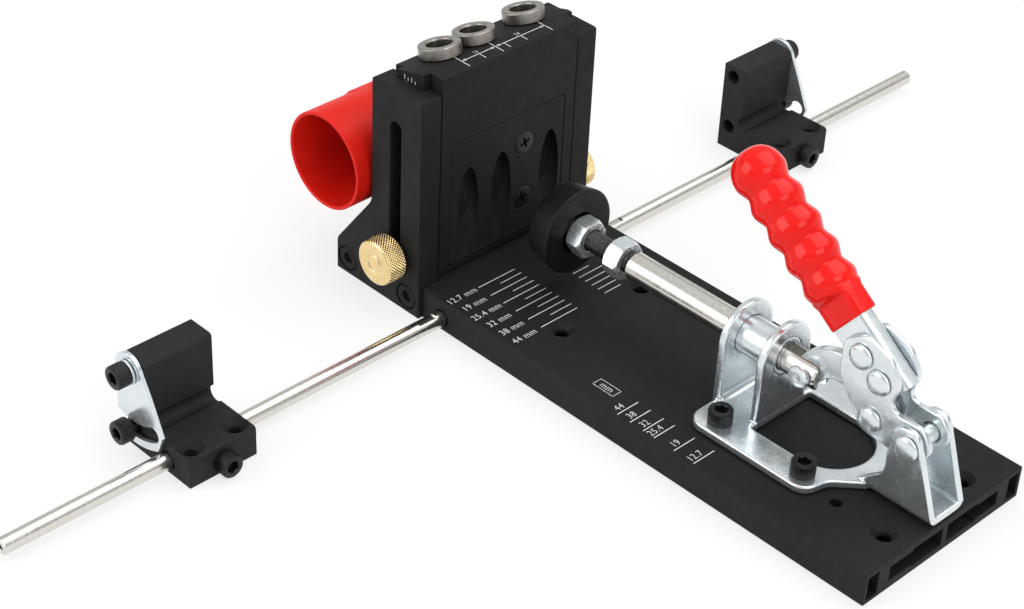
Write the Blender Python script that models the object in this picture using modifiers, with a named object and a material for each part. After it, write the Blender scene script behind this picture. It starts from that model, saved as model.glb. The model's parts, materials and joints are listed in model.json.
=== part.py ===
"""Pocket hole jig with a sliding guide head, two side stops and a push-pull toggle clamp.

Units are metres and +Z is up. The origin is the centre of the base plate's underside.
+X runs from the fence towards the clamp, and the two steel rods run along Y.
"""
import math

import bmesh
import bpy
from mathutils import Matrix, Vector

# Clearances and overruns
SEAT_GAP = 0.0003
SLIDE_GAP = 0.0004
OVERRUN = 0.002

# Base extrusion, from its centre line outwards
BASE_THICK = 0.0125
BASE_WEB = 0.0026
BASE_CHANNEL = 0.0265
BASE_RIB = 0.0057
BASE_EDGE_CHANNEL = 0.0053
BASE_EDGE_WALL = 0.00145
BASE_TOP_WALL = 0.0028
BASE_FLOOR_WALL = 0.0025
BASE_EDGE_TOP_WALL = 0.0019
BASE_EDGE_FLOOR_WALL = 0.0015
BASE_STEP = 0.0007
BASE_STEP_PLACE = 0.0165
BASE_ROUND = 0.0006
FENCE_SETBACK = 0.0445
BASE_MARGIN = 0.0005
NOTCH_RIB = 0.0048

# Screw holes through the base plate
BENCH_HOLE = 0.0025
BENCH_HOLE_SINK = 0.0045
BENCH_HOLE_SPREAD = 0.020
BENCH_HOLE_FROM_FENCE = 0.050
BENCH_HOLE_FROM_END = 0.0094
SPARE_HOLE = 0.0021
SPARE_HOLE_FROM_END = 0.0289

# Side posts
POST_THICK = 0.0093
POST_DEPTH = 0.0254
POST_HEIGHT = 0.0763
POST_FOOT_DEPTH = 0.0443
POST_KNEE = 0.0255
POST_HEEL = 0.0005
POST_ROUND = 0.008
POST_CORNER = 0.0012
TONGUE_SETBACK = 0.0065
TONGUE_DEPTH = 0.013
TONGUE_PROUD = 0.0031
FOOT_SCREW_FRONT = 0.0068
FOOT_SCREW_REAR = 0.03865
FOOT_SCREW_HEAD = 0.0047
FOOT_SCREW_HEAD_LENGTH = 0.0029
FOOT_SCREW_SHANK = 0.0024
FOOT_SCREW_INTO_BASE = 0.006

# Guide block
BLOCK_DEPTH = 0.024
BLOCK_HEIGHT = 0.0822
BLOCK_FLAT = 0.0085
BLOCK_TOE = 0.0027
BLOCK_TOE_DEPTH = 0.0012
DRILL_TILT = math.radians(15.5)
GUIDE_TRAVEL = 0.050
CHAMBER_LOW = 0.026
CHAMBER_HIGH = 0.0378
CHAMBER_SIDE_MARGIN = 0.0045
CHAMBER_WALL = 0.007

# Drill bushings
BUSHING_PLACES = (-0.019, -0.003, 0.021)
BUSHING_SETBACK = 0.01577
BUSHING_COLLAR = 0.00775
BUSHING_COLLAR_LENGTH = 0.0043
BUSHING_SHANK = 0.00625
BUSHING_SHANK_LENGTH = 0.022
BUSHING_BORE = 0.0048
BUSHING_CHAMFER = 0.0008
DRILL_BORE = 0.0050

# Face plate let into the front of the guide block
FACE_SIDE_MARGIN = 0.0017
FACE_LOW = 0.004
FACE_TOP_MARGIN = 0.0279
FACE_THICK = 0.004
FACE_CORNER = 0.002
FACE_SCREW_PLACE = 0.0083
FACE_SCREW_DROPS = (0.0360, 0.0128)
FACE_SCREW_HEAD = 0.0045
FACE_SCREW_HEAD_LENGTH = 0.0024
FACE_SCREW_SHANK = 0.0019
FACE_SCREW_LENGTH = 0.012
CROSS_WIDE = 0.0010
CROSS_LONG = 0.0048
CROSS_DEEP = 0.0014

# Clamping knobs of the guide block
KNOB_SETBACK = 0.0130
KNOB_RISE = 0.0091
KNOB_RADIUS = 0.00875
KNOB_LENGTH = 0.0085
KNOB_COLLAR = 0.0065
KNOB_COLLAR_LENGTH = 0.0009
KNOB_STUD = 0.0024
KNOB_STUD_IN_BLOCK = 0.0025
KNOB_FLUTES = 24
KNOB_FLUTE_DEPTH = 0.00035
SLOT_SPARE = 0.0016

# Dust port
PORT_RADIUS = 0.01875
PORT_WALL = 0.00135
PORT_SETBACK = 0.046
PORT_RISE = 0.034
PORT_MOUTH = 0.047
PORT_TUBE_END = 0.0195
PORT_BOX_END = 0.0265
PORT_BOX_START = 0.0255
PORT_BOX_REAR = 0.0155
PORT_BOX_ROUND = 0.009
PORT_FLANGE_THICK = 0.0025
PORT_FLANGE_WIDTH = 0.0590
PORT_FLANGE_HEIGHT = 0.0460
PORT_FLANGE_RIM = 0.0059
PORT_BOX_HEIGHT = PORT_FLANGE_HEIGHT - PORT_FLANGE_RIM - PORT_FLANGE_RIM
PORT_SCREW_SPREAD = 0.0220
PORT_SCREW_EDGE = 0.0030
PORT_SCREW_HEAD = 0.0022
PORT_SCREW_HEAD_LENGTH = 0.0016
PORT_SCREW_SHANK = 0.0012
PORT_SCREW_LENGTH = 0.008

# Rods of the side stops
ROD_RADIUS = 0.003
ROD_AHEAD = 0.010
ROD_RISE = 0.0050
ROD_IN_BASE = 0.0112
ROD_REACH = 0.225
ROD_END_HOLE = 0.0012
ROD_END_HOLE_DEPTH = 0.004
ROD_FLAT_START = 0.0035
ROD_FLAT_LENGTH = 0.008
ROD_FLAT_DEPTH = 0.0005

# Side stops
STOP_WIDTH = 0.0274
LEFT_STOP_PLACE = 0.147
RIGHT_STOP_PLACE = 0.1443
STOP_DEPTH = 0.0112
STOP_TOE = 0.022
STOP_FOOT_HEIGHT = 0.0118
STOP_HEIGHT = 0.0373
STOP_RELIEF = 0.0030
STOP_RELIEF_AHEAD = 0.0012
STOP_RELIEF_RISE = 0.0019
STOP_HOLE = 0.0022
STOP_HOLE_SINK = 0.0040
STOP_HOLE_SPREAD = 0.009
STOP_HOLE_EDGE = 0.0055
PIVOT_SETBACK = 0.0065
PIVOT_RISE = 0.0325
LIMIT_DROP = 0.0225

# Socket screws of the stops and of the clamp
M5_HEAD = 0.00425
M5_HEAD_LENGTH = 0.0048
M5_SHANK = 0.0024
M5_SOCKET = 0.0023
M5_SOCKET_DEPTH = 0.0025
M5_STOP_LENGTH = 0.018
M5_CLAMP_LENGTH = 0.0105
SCREW_EDGE_SHARE = 0.1
STOP_SCREW_STANDOFF = 0.0032

# Flip plate of each stop, measured from its pivot
FLIP_THICK = 0.0015
FLIP_HEAD = 0.007
FLIP_REACH = 0.0284
FLIP_SLOT_SLACK = 0.0004
FLIP_SLOT_ANGLE = math.radians(32.0)
FLIP_MOUTH_ANGLE = math.radians(-21.0)
FLIP_HOOK_ANGLE = math.radians(-5.0)
FLIP_TOE_ANGLE = math.radians(30.0)
FLIP_EDGE_ANGLE = math.radians(42.0)
FLIP_EDGE_REACH = 0.0247
FLIP_EDGE_AHEAD = 0.0107
FLIP_EDGE_DROP = 0.0056
FLIP_WASHER = 0.0046
FLIP_WASHER_THICK = 0.0008

# Clamp linkage, from the fence to the rear pivot
WORK_GAP = 0.0254
CAP_LENGTH = 0.0111
SPINDLE_REACH = 0.027
PLUNGER_LENGTH = 0.084
PLUNGER_EYE = 0.0052
LINK_SPAN = 0.0295
CRANK = 0.0168
AXIS_HEIGHT = 0.025
HANDLE_ANGLE = math.radians(143.0)

# Clamp plunger and spindle
PLUNGER_RADIUS = 0.0051
PLUNGER_CHAMFER = 0.0007
PLUNGER_SLOT = 0.0045
PLUNGER_SLOT_DEPTH = 0.0155
SPINDLE_RADIUS = 0.0039
SPINDLE_IN_PLUNGER = 0.0225
SPINDLE_SPARE = 0.0125
SPINDLE_HEAD_LENGTH = 0.0050
NUT_RADIUS = 0.0075
NUT_LENGTH = 0.0065
NUT_CHAMFER = 0.0009
LOCK_NUT_BACK = 0.0025
CAP_FRONT_RADIUS = 0.0145
CAP_BACK_RADIUS = 0.0165
CAP_FACE = 0.0026
CAP_ROUND = 0.0010

# Clamp base
FLANGE_THICK = 0.003
FLANGE_WIDTH = 0.054
FLANGE_CORNER = 0.006
FLANGE_SCREW_SPREAD = 0.0201
FLANGE_SCREW_FRONT = 0.0091
FLANGE_SCREW_REAR = 0.0062
FLANGE_WAIST = 0.0170
FLANGE_WAIST_BACK = 0.0020
FLANGE_TAIL = 0.0120
EAR_THICK = 0.003
EAR_SPAN = 0.0195
EAR_RADIUS = 0.0123
EAR_TO_PIN = 0.0098
EAR_OVERHANG = 0.0015
SLEEVE_RADIUS = 0.007
HORSESHOE_WIDTH = 0.030
HORSESHOE_END = 0.0196
CHEEK_INNER = 0.0061
CHEEK_THICK = 0.0025
CHEEK_FLOOR = 0.0026
CHEEK_LIFT = 0.0002
CHEEK_PROUD = 0.0004
CHEEK_ROUND = 0.0035
CHEEK_INNER_ROUND = 0.001
CHEEK_TOP = 0.0066
CHEEK_REAR = 0.0134
CHEEK_FRONT_FOOT = 0.0160
CHEEK_GUSSET_AHEAD = 0.0072
CHEEK_GUSSET_RISE = 0.0105
FLANGE_REAR = 0.0232

# Link, yoke plates and rivets of the clamp
LINK_THICK = 0.0039
LINK_BOW = 0.009
RIVET_RADIUS = 0.0032
RIVET_HEAD = 0.0045
RIVET_HEAD_LENGTH = 0.0016
PIN_RADIUS = 0.0024
PIN_HEAD = 0.0040
YOKE_THICK = 0.002
YOKE_INNER = 0.0038
UPPER_RIVET_SHARES = (-1.405, 1.250)
LOWER_RIVET_SHARES = (-0.929, 0.905)
YOKE_OUTLINE_SHARES = (
    (-1.86, 1.41, 0.26),
    (-1.40, 1.74, 0.30),
    (-0.72, 1.49, 0.36),
    (-0.44, 1.04, 0.40),
    (-0.66, 0.42, 0.20),
    (0.16, 0.43, 0.30),
    (0.49, 0.02, 0.28),
    (0.02, -0.46, 0.34),
    (-1.20, -0.34, 0.30),
    (-1.86, 0.62, 0.60),
)

# Handle bar and grip, measured along the handle from its lower rivet
BAR_HALF_THICK = 0.0035
BAR_WALL = 0.0012
BAR_DEPTH = 0.0146
BAR_START = 0.0065
BAR_END = 0.046
GRIP_START = 0.021
GRIP_WALL = 0.0011
GRIP_SLEEVE_LENGTH = 0.0080
GRIP_FIRST_BULGE = 0.0348
GRIP_BULGE_PITCH = 0.01015
GRIP_BULGES = 5
GRIP_BULGE = 0.0092
GRIP_NECK = 0.0079

# Smoothness of round shapes, as counts
ROUND_STEPS = 24
SMALL_STEPS = 12
CORNER_STEPS = 3
GRIP_SIDES = 16
GRIP_RINGS_PER_BULGE = 6

# Places worked out from the sizes above
PIVOT_FROM_FENCE = (WORK_GAP + CAP_LENGTH + SPINDLE_REACH + PLUNGER_LENGTH
                    - PLUNGER_EYE + LINK_SPAN + CRANK)
BASE_LENGTH = FENCE_SETBACK + PIVOT_FROM_FENCE + CHEEK_REAR + BASE_MARGIN
REAR_X = -BASE_LENGTH / 2
FRONT_X = BASE_LENGTH / 2
FENCE_X = REAR_X + FENCE_SETBACK
BASE_HALF = BASE_WEB / 2 + BASE_CHANNEL + BASE_RIB + BASE_EDGE_CHANNEL + BASE_EDGE_WALL
NOTCH_HALF = BASE_WEB / 2 + BASE_CHANNEL + NOTCH_RIB
POST_INNER = NOTCH_HALF + SEAT_GAP
POST_OUTER = POST_INNER + POST_THICK
BLOCK_HALF = POST_INNER - SLIDE_GAP
TONGUE_HALF = BLOCK_HALF + TONGUE_PROUD
FOOT_SCREW_HEIGHT = BASE_THICK / 2
CLAMP_X = FENCE_X + PIVOT_FROM_FENCE
CLAMP_Z = BASE_THICK + AXIS_HEIGHT
LINK_X = CLAMP_X - CRANK
PIN_X = LINK_X - LINK_SPAN
TAIL_X = PIN_X + PLUNGER_EYE
PLUNGER_X = TAIL_X - PLUNGER_LENGTH
CAP_X = PLUNGER_X - SPINDLE_REACH
EAR_X = PIN_X - EAR_TO_PIN
ROD_X = FENCE_X + ROD_AHEAD
OUTER_DRILL = max(abs(place) for place in BUSHING_PLACES)
CHAMBER_HALF = OUTER_DRILL + CHAMBER_SIDE_MARGIN
FACE_HALF = OUTER_DRILL + DRILL_BORE + FACE_SIDE_MARGIN
FACE_HIGH = BLOCK_HEIGHT - FACE_TOP_MARGIN
HANDLE_DIRECTION = Vector((math.cos(HANDLE_ANGLE), 0, math.sin(HANDLE_ANGLE)))
UPPER_RIVET = (CLAMP_X + CRANK * UPPER_RIVET_SHARES[0], CLAMP_Z + CRANK * UPPER_RIVET_SHARES[1])
LOWER_RIVET = (CLAMP_X + CRANK * LOWER_RIVET_SHARES[0], CLAMP_Z + CRANK * LOWER_RIVET_SHARES[1])

# Turns that lay a shape's own axis along a world axis
QUARTER = math.pi / 2
UPRIGHT = (0, 0, 0)
TOWARDS_PLUS_X = (0, QUARTER, 0)
TOWARDS_MINUS_X = (0, -QUARTER, 0)
TOWARDS_PLUS_Y = (-QUARTER, 0, 0)
TOWARDS_MINUS_Y = (QUARTER, 0, 0)
OUTWARD = {-1: TOWARDS_MINUS_Y, 1: TOWARDS_PLUS_Y}
SIDE_VIEW = (QUARTER, 0, 0)
END_VIEW = (QUARTER, 0, QUARTER)
SIDE_NAMES = {-1: "left", 1: "right"}
FAR_NAMES = {-1: "near", 1: "far"}
STOP_PLACES = {-1: LEFT_STOP_PLACE, 1: RIGHT_STOP_PLACE}

for old in list(bpy.data.objects):
    bpy.data.objects.remove(old, do_unlink=True)
JIG = bpy.data.collections.new("pocket_hole_jig")
CUTTERS = bpy.data.collections.new("cutters")
bpy.context.scene.collection.children.link(JIG)
bpy.context.scene.collection.children.link(CUTTERS)


def new_material(name, colour, metallic, roughness):
    """Return a plain material with the given surface values."""
    material = bpy.data.materials.new(name)
    material.use_nodes = True
    shader = material.node_tree.nodes["Principled BSDF"]
    shader.inputs["Base Color"].default_value = (*colour, 1)
    shader.inputs["Metallic"].default_value = metallic
    shader.inputs["Roughness"].default_value = roughness
    return material


BLACK = new_material("black_anodised", (0.03, 0.03, 0.032), 0.4, 0.45)
SCREW_BLACK = new_material("black_screw", (0.02, 0.02, 0.021), 0.6, 0.35)
STEEL = new_material("bright_steel", (0.62, 0.60, 0.57), 1.0, 0.3)
ZINC = new_material("zinc_plate", (0.74, 0.77, 0.80), 1.0, 0.28)
BRASS = new_material("brass", (0.80, 0.62, 0.32), 1.0, 0.3)
RED_PLASTIC = new_material("red_plastic", (0.78, 0.05, 0.03), 0.0, 0.4)
RED_VINYL = new_material("red_vinyl", (0.85, 0.04, 0.02), 0.0, 0.25)
RUBBER = new_material("black_rubber", (0.025, 0.025, 0.026), 0.0, 0.6)


# Shape helpers
def new_object(name, mesh, place, turn, material):
    """Put a mesh in the scene: with a material it is a part, without one it is a cutter."""
    piece = bpy.data.objects.new(name, mesh)
    piece.location = place
    piece.rotation_euler = turn
    if material is None:
        CUTTERS.objects.link(piece)
        piece.hide_render = True
        piece.display_type = "WIRE"
    else:
        JIG.objects.link(piece)
        mesh.materials.append(material)
        mesh.shade_smooth()
        mesh.set_sharp_from_angle(angle=math.radians(35))
    return piece


def mesh_from(shape, name):
    """Turn a bmesh into a mesh with its faces pointing out."""
    bmesh.ops.recalc_face_normals(shape, faces=shape.faces)
    mesh = bpy.data.meshes.new(name)
    shape.to_mesh(mesh)
    shape.free()
    return mesh


def block(name, low, high, material=None):
    """Make a box from its lowest and highest corners."""
    low = Vector(low)
    high = Vector(high)
    size = high - low
    shape = bmesh.new()
    bmesh.ops.create_cube(shape, size=1)
    bmesh.ops.scale(shape, vec=size, verts=shape.verts)
    return new_object(name, mesh_from(shape, name), (low + high) / 2, UPRIGHT, material)


def cylinder(name, radius, length, place, turn, material=None, steps=ROUND_STEPS):
    """Make a cylinder that starts at its place and runs along its own +Z."""
    shape = bmesh.new()
    bmesh.ops.create_cone(shape, cap_ends=True, segments=steps, radius1=radius,
                          radius2=radius, depth=length)
    bmesh.ops.translate(shape, vec=(0, 0, length / 2), verts=shape.verts)
    return new_object(name, mesh_from(shape, name), place, turn, material)


def turned(name, profile, place, turn, material=None, steps=ROUND_STEPS, closed=False):
    """Turn a profile of (radius, height) pairs, listed from the top down, about its own Z."""
    mesh = bpy.data.meshes.new(name)
    count = len(profile)
    edges = [(i, i + 1) for i in range(count - 1)]
    if closed:
        edges.append((count - 1, 0))
    mesh.from_pydata([(radius, 0, height) for radius, height in profile], edges, [])
    piece = new_object(name, mesh, place, turn, material)
    screw = piece.modifiers.new("turn", "SCREW")
    screw.steps = steps
    screw.render_steps = steps
    screw.use_merge_vertices = True
    screw.merge_threshold = 0.00001
    screw.use_smooth_shade = True
    return piece


def arc(centre, radius, start, end, steps=CORNER_STEPS):
    """Return points of an arc, both ends included; angles run from +x towards +y."""
    points = []
    for step in range(steps + 1):
        angle = start + (end - start) * step / steps
        points.append((centre[0] + radius * math.cos(angle), centre[1] + radius * math.sin(angle)))
    return points


def circle(centre, radius, steps=SMALL_STEPS):
    """Return points of a full circle."""
    return arc(centre, radius, 0, 2 * math.pi, steps)[:-1]


def rounded(corners):
    """Return an outline whose corners, given as (x, y, radius), are rounded off."""
    points = []
    count = len(corners)
    for index, (x, y, radius) in enumerate(corners):
        corner = Vector((x, y))
        if radius == 0:
            points.append((x, y))
            continue
        back = (Vector(corners[index - 1][:2]) - corner).normalized()
        ahead = (Vector(corners[(index + 1) % count][:2]) - corner).normalized()
        half = back.angle(ahead) / 2
        centre = corner + (back + ahead).normalized() * radius / math.sin(half)
        first = corner + back * radius / math.tan(half) - centre
        last = corner + ahead * radius / math.tan(half) - centre
        sweep = first.angle_signed(last)
        start = math.atan2(first.y, first.x)
        points.extend(arc(centre, radius, start, start - sweep))
    return points


def rectangle(low, high, radius=0):
    """Return a rectangle's outline with rounded corners."""
    return rounded([(low[0], low[1], radius), (high[0], low[1], radius),
                    (high[0], high[1], radius), (low[0], high[1], radius)])


def plate(name, loops, thickness, place, turn, material=None):
    """Extrude flat loops, the first one outside and the rest holes, about their own plane."""
    curve = bpy.data.curves.new(name, "CURVE")
    curve.dimensions = "2D"
    curve.fill_mode = "BOTH"
    curve.extrude = thickness / 2
    for loop in loops:
        spline = curve.splines.new("POLY")
        spline.points.add(len(loop) - 1)
        for point, (x, y) in zip(spline.points, loop):
            point.co = (x, y, 0, 1)
        spline.use_cyclic_u = True
    drawing = bpy.data.objects.new(name + "_drawing", curve)
    bpy.context.scene.collection.objects.link(drawing)
    graph = bpy.context.evaluated_depsgraph_get()
    flat = bpy.data.meshes.new_from_object(drawing.evaluated_get(graph))
    shape = bmesh.new()
    shape.from_mesh(flat)
    bmesh.ops.remove_doubles(shape, verts=shape.verts, dist=0.000001)
    bpy.data.objects.remove(drawing, do_unlink=True)
    return new_object(name, mesh_from(shape, name), place, turn, material)


def combine(piece, operation, *others):
    """Add a Boolean of each other object to the piece."""
    for other in others:
        change = piece.modifiers.new(other.name, "BOOLEAN")
        change.operation = operation
        change.object = other
        change.solver = "EXACT"
    return piece


def cut(piece, *others):
    """Cut the other objects out of the piece."""
    return combine(piece, "DIFFERENCE", *others)


def join(piece, *others):
    """Join the other objects to the piece."""
    return combine(piece, "UNION", *others)


def carrier(name, place):
    """Make the empty that stands on a joint's axis."""
    empty = bpy.data.objects.new(name, None)
    empty.location = place
    JIG.objects.link(empty)
    return empty


def carry(empty, *pieces):
    """Parent pieces to a joint's empty and keep their places."""
    for piece in pieces:
        piece.parent = empty
        piece.matrix_parent_inverse = Matrix.Translation(-Vector(empty.location))


def screw_profile(head, head_length, shank, length):
    """Return the profile of a cylinder head screw whose seat is at height zero."""
    edge = head * SCREW_EDGE_SHARE
    return [(0, head_length), (head - edge, head_length), (head, head_length - edge),
            (head, 0), (shank, 0), (shank, -length + edge), (shank - edge, -length),
            (0, -length)]


def socket_screw(name, place, turn, length, material=SCREW_BLACK):
    """Make an M5 socket head screw that is seated at its place and points along +Z."""
    profile = screw_profile(M5_HEAD, M5_HEAD_LENGTH, M5_SHANK, length)
    piece = turned(name, profile, place, turn, material, SMALL_STEPS)
    socket = cylinder(name + "_socket", M5_SOCKET, M5_HEAD_LENGTH + OVERRUN, (0, 0, 0), UPRIGHT,
                      steps=6)
    socket.parent = piece
    socket.location = (0, 0, M5_HEAD_LENGTH - M5_SOCKET_DEPTH)
    return cut(piece, socket)


def hexagon(radius):
    """Return a hexagon with a corner at the top."""
    return circle((0, 0), radius, 6)


def hex_nut(name, start_x, material):
    """Make a hexagon nut on the clamp's axis that runs from start_x towards +X."""
    place = (start_x + NUT_LENGTH / 2, 0, CLAMP_Z)
    bore = circle((0, 0), SPINDLE_RADIUS + SEAT_GAP)
    nut = plate(name, [hexagon(NUT_RADIUS), bore], NUT_LENGTH, place, END_VIEW, material)
    half = NUT_LENGTH / 2
    barrel = turned(name + "_barrel", [
        (0, half), (NUT_RADIUS - NUT_CHAMFER, half), (NUT_RADIUS, half - NUT_CHAMFER / 2),
        (NUT_RADIUS, -half + NUT_CHAMFER / 2), (NUT_RADIUS - NUT_CHAMFER, -half), (0, -half),
    ], place, TOWARDS_PLUS_X, steps=SMALL_STEPS)
    return combine(nut, "INTERSECT", barrel)


def at_base(x, y, height):
    """Return a place given by its height above the base plate's top."""
    return (x, y, BASE_THICK + height)


# Base plate, posts and rods
def build_base():
    """Make the hollow extruded base with all of its screw holes."""
    channel_start = BASE_WEB / 2
    channel_end = channel_start + BASE_CHANNEL
    edge_start = channel_end + BASE_RIB
    edge_end = edge_start + BASE_EDGE_CHANNEL
    floor = BASE_FLOOR_WALL
    ceiling = BASE_THICK - BASE_TOP_WALL
    loops = [rectangle((-BASE_HALF, 0), (BASE_HALF, BASE_THICK), BASE_ROUND)]
    for side in (-1, 1):
        loops.append([(side * channel_start, floor), (side * BASE_STEP_PLACE, floor),
                      (side * BASE_STEP_PLACE, floor + BASE_STEP),
                      (side * channel_end, floor + BASE_STEP),
                      (side * channel_end, ceiling - BASE_STEP),
                      (side * BASE_STEP_PLACE, ceiling - BASE_STEP),
                      (side * BASE_STEP_PLACE, ceiling), (side * channel_start, ceiling)])
        loops.append([(side * edge_start, BASE_EDGE_FLOOR_WALL),
                      (side * edge_end, BASE_EDGE_FLOOR_WALL),
                      (side * edge_end, BASE_THICK - BASE_EDGE_TOP_WALL),
                      (side * edge_start, BASE_THICK - BASE_EDGE_TOP_WALL)])
    base = plate("base_plate", loops, BASE_LENGTH, (0, 0, 0), END_VIEW, BLACK)
    for side in (-1, 1):
        outer = side * (BASE_HALF + OVERRUN)
        inner = side * NOTCH_HALF
        notch = block(f"notch_{side}", (REAR_X - OVERRUN, min(inner, outer), -OVERRUN),
                      (FENCE_X + SEAT_GAP, max(inner, outer), BASE_THICK + OVERRUN))
        bore = cylinder(f"rod_bore_{side}", ROD_RADIUS + SEAT_GAP,
                        ROD_IN_BASE + SEAT_GAP + OVERRUN,
                        (ROD_X, side * (BASE_HALF - ROD_IN_BASE - SEAT_GAP), ROD_RISE),
                        OUTWARD[side])
        cut(base, notch, bore)
        for setback in (FOOT_SCREW_FRONT, FOOT_SCREW_REAR):
            depth = FOOT_SCREW_INTO_BASE + SEAT_GAP
            cut(base, cylinder(f"foot_thread_{side}", FOOT_SCREW_SHANK + SEAT_GAP, depth + OVERRUN,
                               (FENCE_X - setback, side * (NOTCH_HALF - depth), FOOT_SCREW_HEIGHT),
                               OUTWARD[side], steps=SMALL_STEPS))
        for place_x in (FENCE_X + BENCH_HOLE_FROM_FENCE, FRONT_X - BENCH_HOLE_FROM_END):
            sink = BENCH_HOLE_SINK - BENCH_HOLE
            top = BASE_THICK + OVERRUN
            cut(base, turned(f"bench_hole_{side}", [
                (0, top), (BENCH_HOLE_SINK, top), (BENCH_HOLE_SINK, BASE_THICK),
                (BENCH_HOLE, BASE_THICK - sink), (BENCH_HOLE, -OVERRUN), (0, -OVERRUN),
            ], (place_x, side * BENCH_HOLE_SPREAD, 0), UPRIGHT, steps=SMALL_STEPS))
        for place_x in clamp_screw_places():
            start = BASE_THICK - M5_CLAMP_LENGTH
            cut(base, cylinder(f"clamp_thread_{side}", M5_SHANK + SEAT_GAP,
                               M5_CLAMP_LENGTH + OVERRUN,
                               (place_x, side * FLANGE_SCREW_SPREAD, start), UPRIGHT,
                               steps=SMALL_STEPS))
    spare = cylinder("spare_thread", SPARE_HOLE, BASE_THICK,
                     (FRONT_X - SPARE_HOLE_FROM_END, -BENCH_HOLE_SPREAD, BASE_THICK / 2),
                     UPRIGHT, steps=SMALL_STEPS)
    return cut(base, spare)


def build_post(side):
    """Make one side post and its two foot screws."""
    name = SIDE_NAMES[side]
    depth = POST_DEPTH
    foot = POST_FOOT_DEPTH
    outline = rounded([(0, 0, 0), (0, BASE_THICK + POST_HEIGHT, POST_CORNER),
                       (-depth, BASE_THICK + POST_HEIGHT, POST_CORNER),
                       (-depth, BASE_THICK + POST_KNEE, POST_ROUND),
                       (-foot, BASE_THICK + POST_HEEL, POST_ROUND / 2), (-foot, 0, 0)])
    slot_half = KNOB_STUD + SLIDE_GAP
    slot_low = BASE_THICK + KNOB_RISE - SLOT_SPARE
    slot_high = BASE_THICK + KNOB_RISE + GUIDE_TRAVEL + SLOT_SPARE
    slot = (arc((-KNOB_SETBACK, slot_high), slot_half, 0, math.pi, SMALL_STEPS // 2)
            + arc((-KNOB_SETBACK, slot_low), slot_half, math.pi, 2 * math.pi, SMALL_STEPS // 2))
    middle = side * (POST_INNER + POST_THICK / 2)
    post = plate(name + "_post", [outline, slot], POST_THICK, (FENCE_X, middle, 0), SIDE_VIEW,
                 BLACK)
    groove_front = FENCE_X - TONGUE_SETBACK + SLIDE_GAP
    groove_back = FENCE_X - TONGUE_SETBACK - TONGUE_DEPTH - SLIDE_GAP
    near = side * (POST_INNER - OVERRUN)
    deep = side * (TONGUE_HALF + SLIDE_GAP)
    groove = block(name + "_groove", (groove_back, min(near, deep), BASE_THICK),
                   (groove_front, max(near, deep), BASE_THICK + POST_HEIGHT + OVERRUN))
    cut(post, groove)
    seat = side * (POST_OUTER - SEAT_GAP - FOOT_SCREW_HEAD_LENGTH)
    shank_length = abs(seat) - NOTCH_HALF + FOOT_SCREW_INTO_BASE
    for label, setback in (("front", FOOT_SCREW_FRONT), ("rear", FOOT_SCREW_REAR)):
        place = (FENCE_X - setback, seat, FOOT_SCREW_HEIGHT)
        profile = screw_profile(FOOT_SCREW_HEAD, FOOT_SCREW_HEAD_LENGTH, FOOT_SCREW_SHANK,
                                shank_length)
        screw = turned(f"{name}_post_screw_{label}", profile, place, OUTWARD[side], SCREW_BLACK,
                       SMALL_STEPS)
        socket = cylinder(f"{name}_foot_socket_{label}", M5_SOCKET, FOOT_SCREW_HEAD_LENGTH,
                          (FENCE_X - setback, side * (abs(seat) + FOOT_SCREW_HEAD_LENGTH / 2),
                           FOOT_SCREW_HEIGHT), OUTWARD[side], steps=6)
        cut(screw, socket)
        deep_place = (FENCE_X - setback, side * (abs(seat) - SEAT_GAP), FOOT_SCREW_HEIGHT)
        sink = cylinder(f"{name}_foot_sink_{label}", FOOT_SCREW_HEAD + SEAT_GAP,
                        FOOT_SCREW_HEAD_LENGTH + OVERRUN, deep_place, OUTWARD[side])
        through = cylinder(f"{name}_foot_hole_{label}", FOOT_SCREW_SHANK + SEAT_GAP,
                           POST_THICK + OVERRUN + OVERRUN,
                           (FENCE_X - setback, side * (POST_INNER - OVERRUN), FOOT_SCREW_HEIGHT),
                           OUTWARD[side], steps=SMALL_STEPS)
        cut(post, sink, through)
    return post


def build_rod(side):
    """Make one steel rod with its wrench flat and end hole."""
    name = SIDE_NAMES[side] + "_rod"
    start = BASE_HALF - ROD_IN_BASE
    length = ROD_REACH - start
    edge = ROD_END_HOLE / 3
    profile = [(0, length), (ROD_RADIUS - edge, length), (ROD_RADIUS, length - edge),
               (ROD_RADIUS, 0), (0, 0)]
    rod = turned(name, profile, (ROD_X, side * start, ROD_RISE), OUTWARD[side], STEEL,
                 SMALL_STEPS)
    hole = cylinder(name + "_hole", ROD_END_HOLE, ROD_END_HOLE_DEPTH + OVERRUN,
                    (ROD_X, side * (ROD_REACH - ROD_END_HOLE_DEPTH), ROD_RISE), OUTWARD[side],
                    steps=SMALL_STEPS)
    near = side * (BASE_HALF + ROD_FLAT_START)
    far = side * (BASE_HALF + ROD_FLAT_START + ROD_FLAT_LENGTH)
    flat = block(name + "_flat",
                 (ROD_X - ROD_RADIUS, min(near, far), ROD_RISE + ROD_RADIUS - ROD_FLAT_DEPTH),
                 (ROD_X + ROD_RADIUS, max(near, far), ROD_RISE + ROD_RADIUS + OVERRUN))
    return cut(rod, hole, flat)


# Guide head
def drill_axis_start():
    """Return where a bushing's axis crosses the sloping top, in X and height."""
    drop = (BUSHING_SETBACK - BLOCK_FLAT) * math.tan(DRILL_TILT)
    return FENCE_X - BUSHING_SETBACK, BLOCK_HEIGHT - drop


def drill_place(along):
    """Return a place on the drill axis, a distance down from the sloping top."""
    start_x, start_height = drill_axis_start()
    return (start_x + along * math.sin(DRILL_TILT), start_height - along * math.cos(DRILL_TILT))


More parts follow.
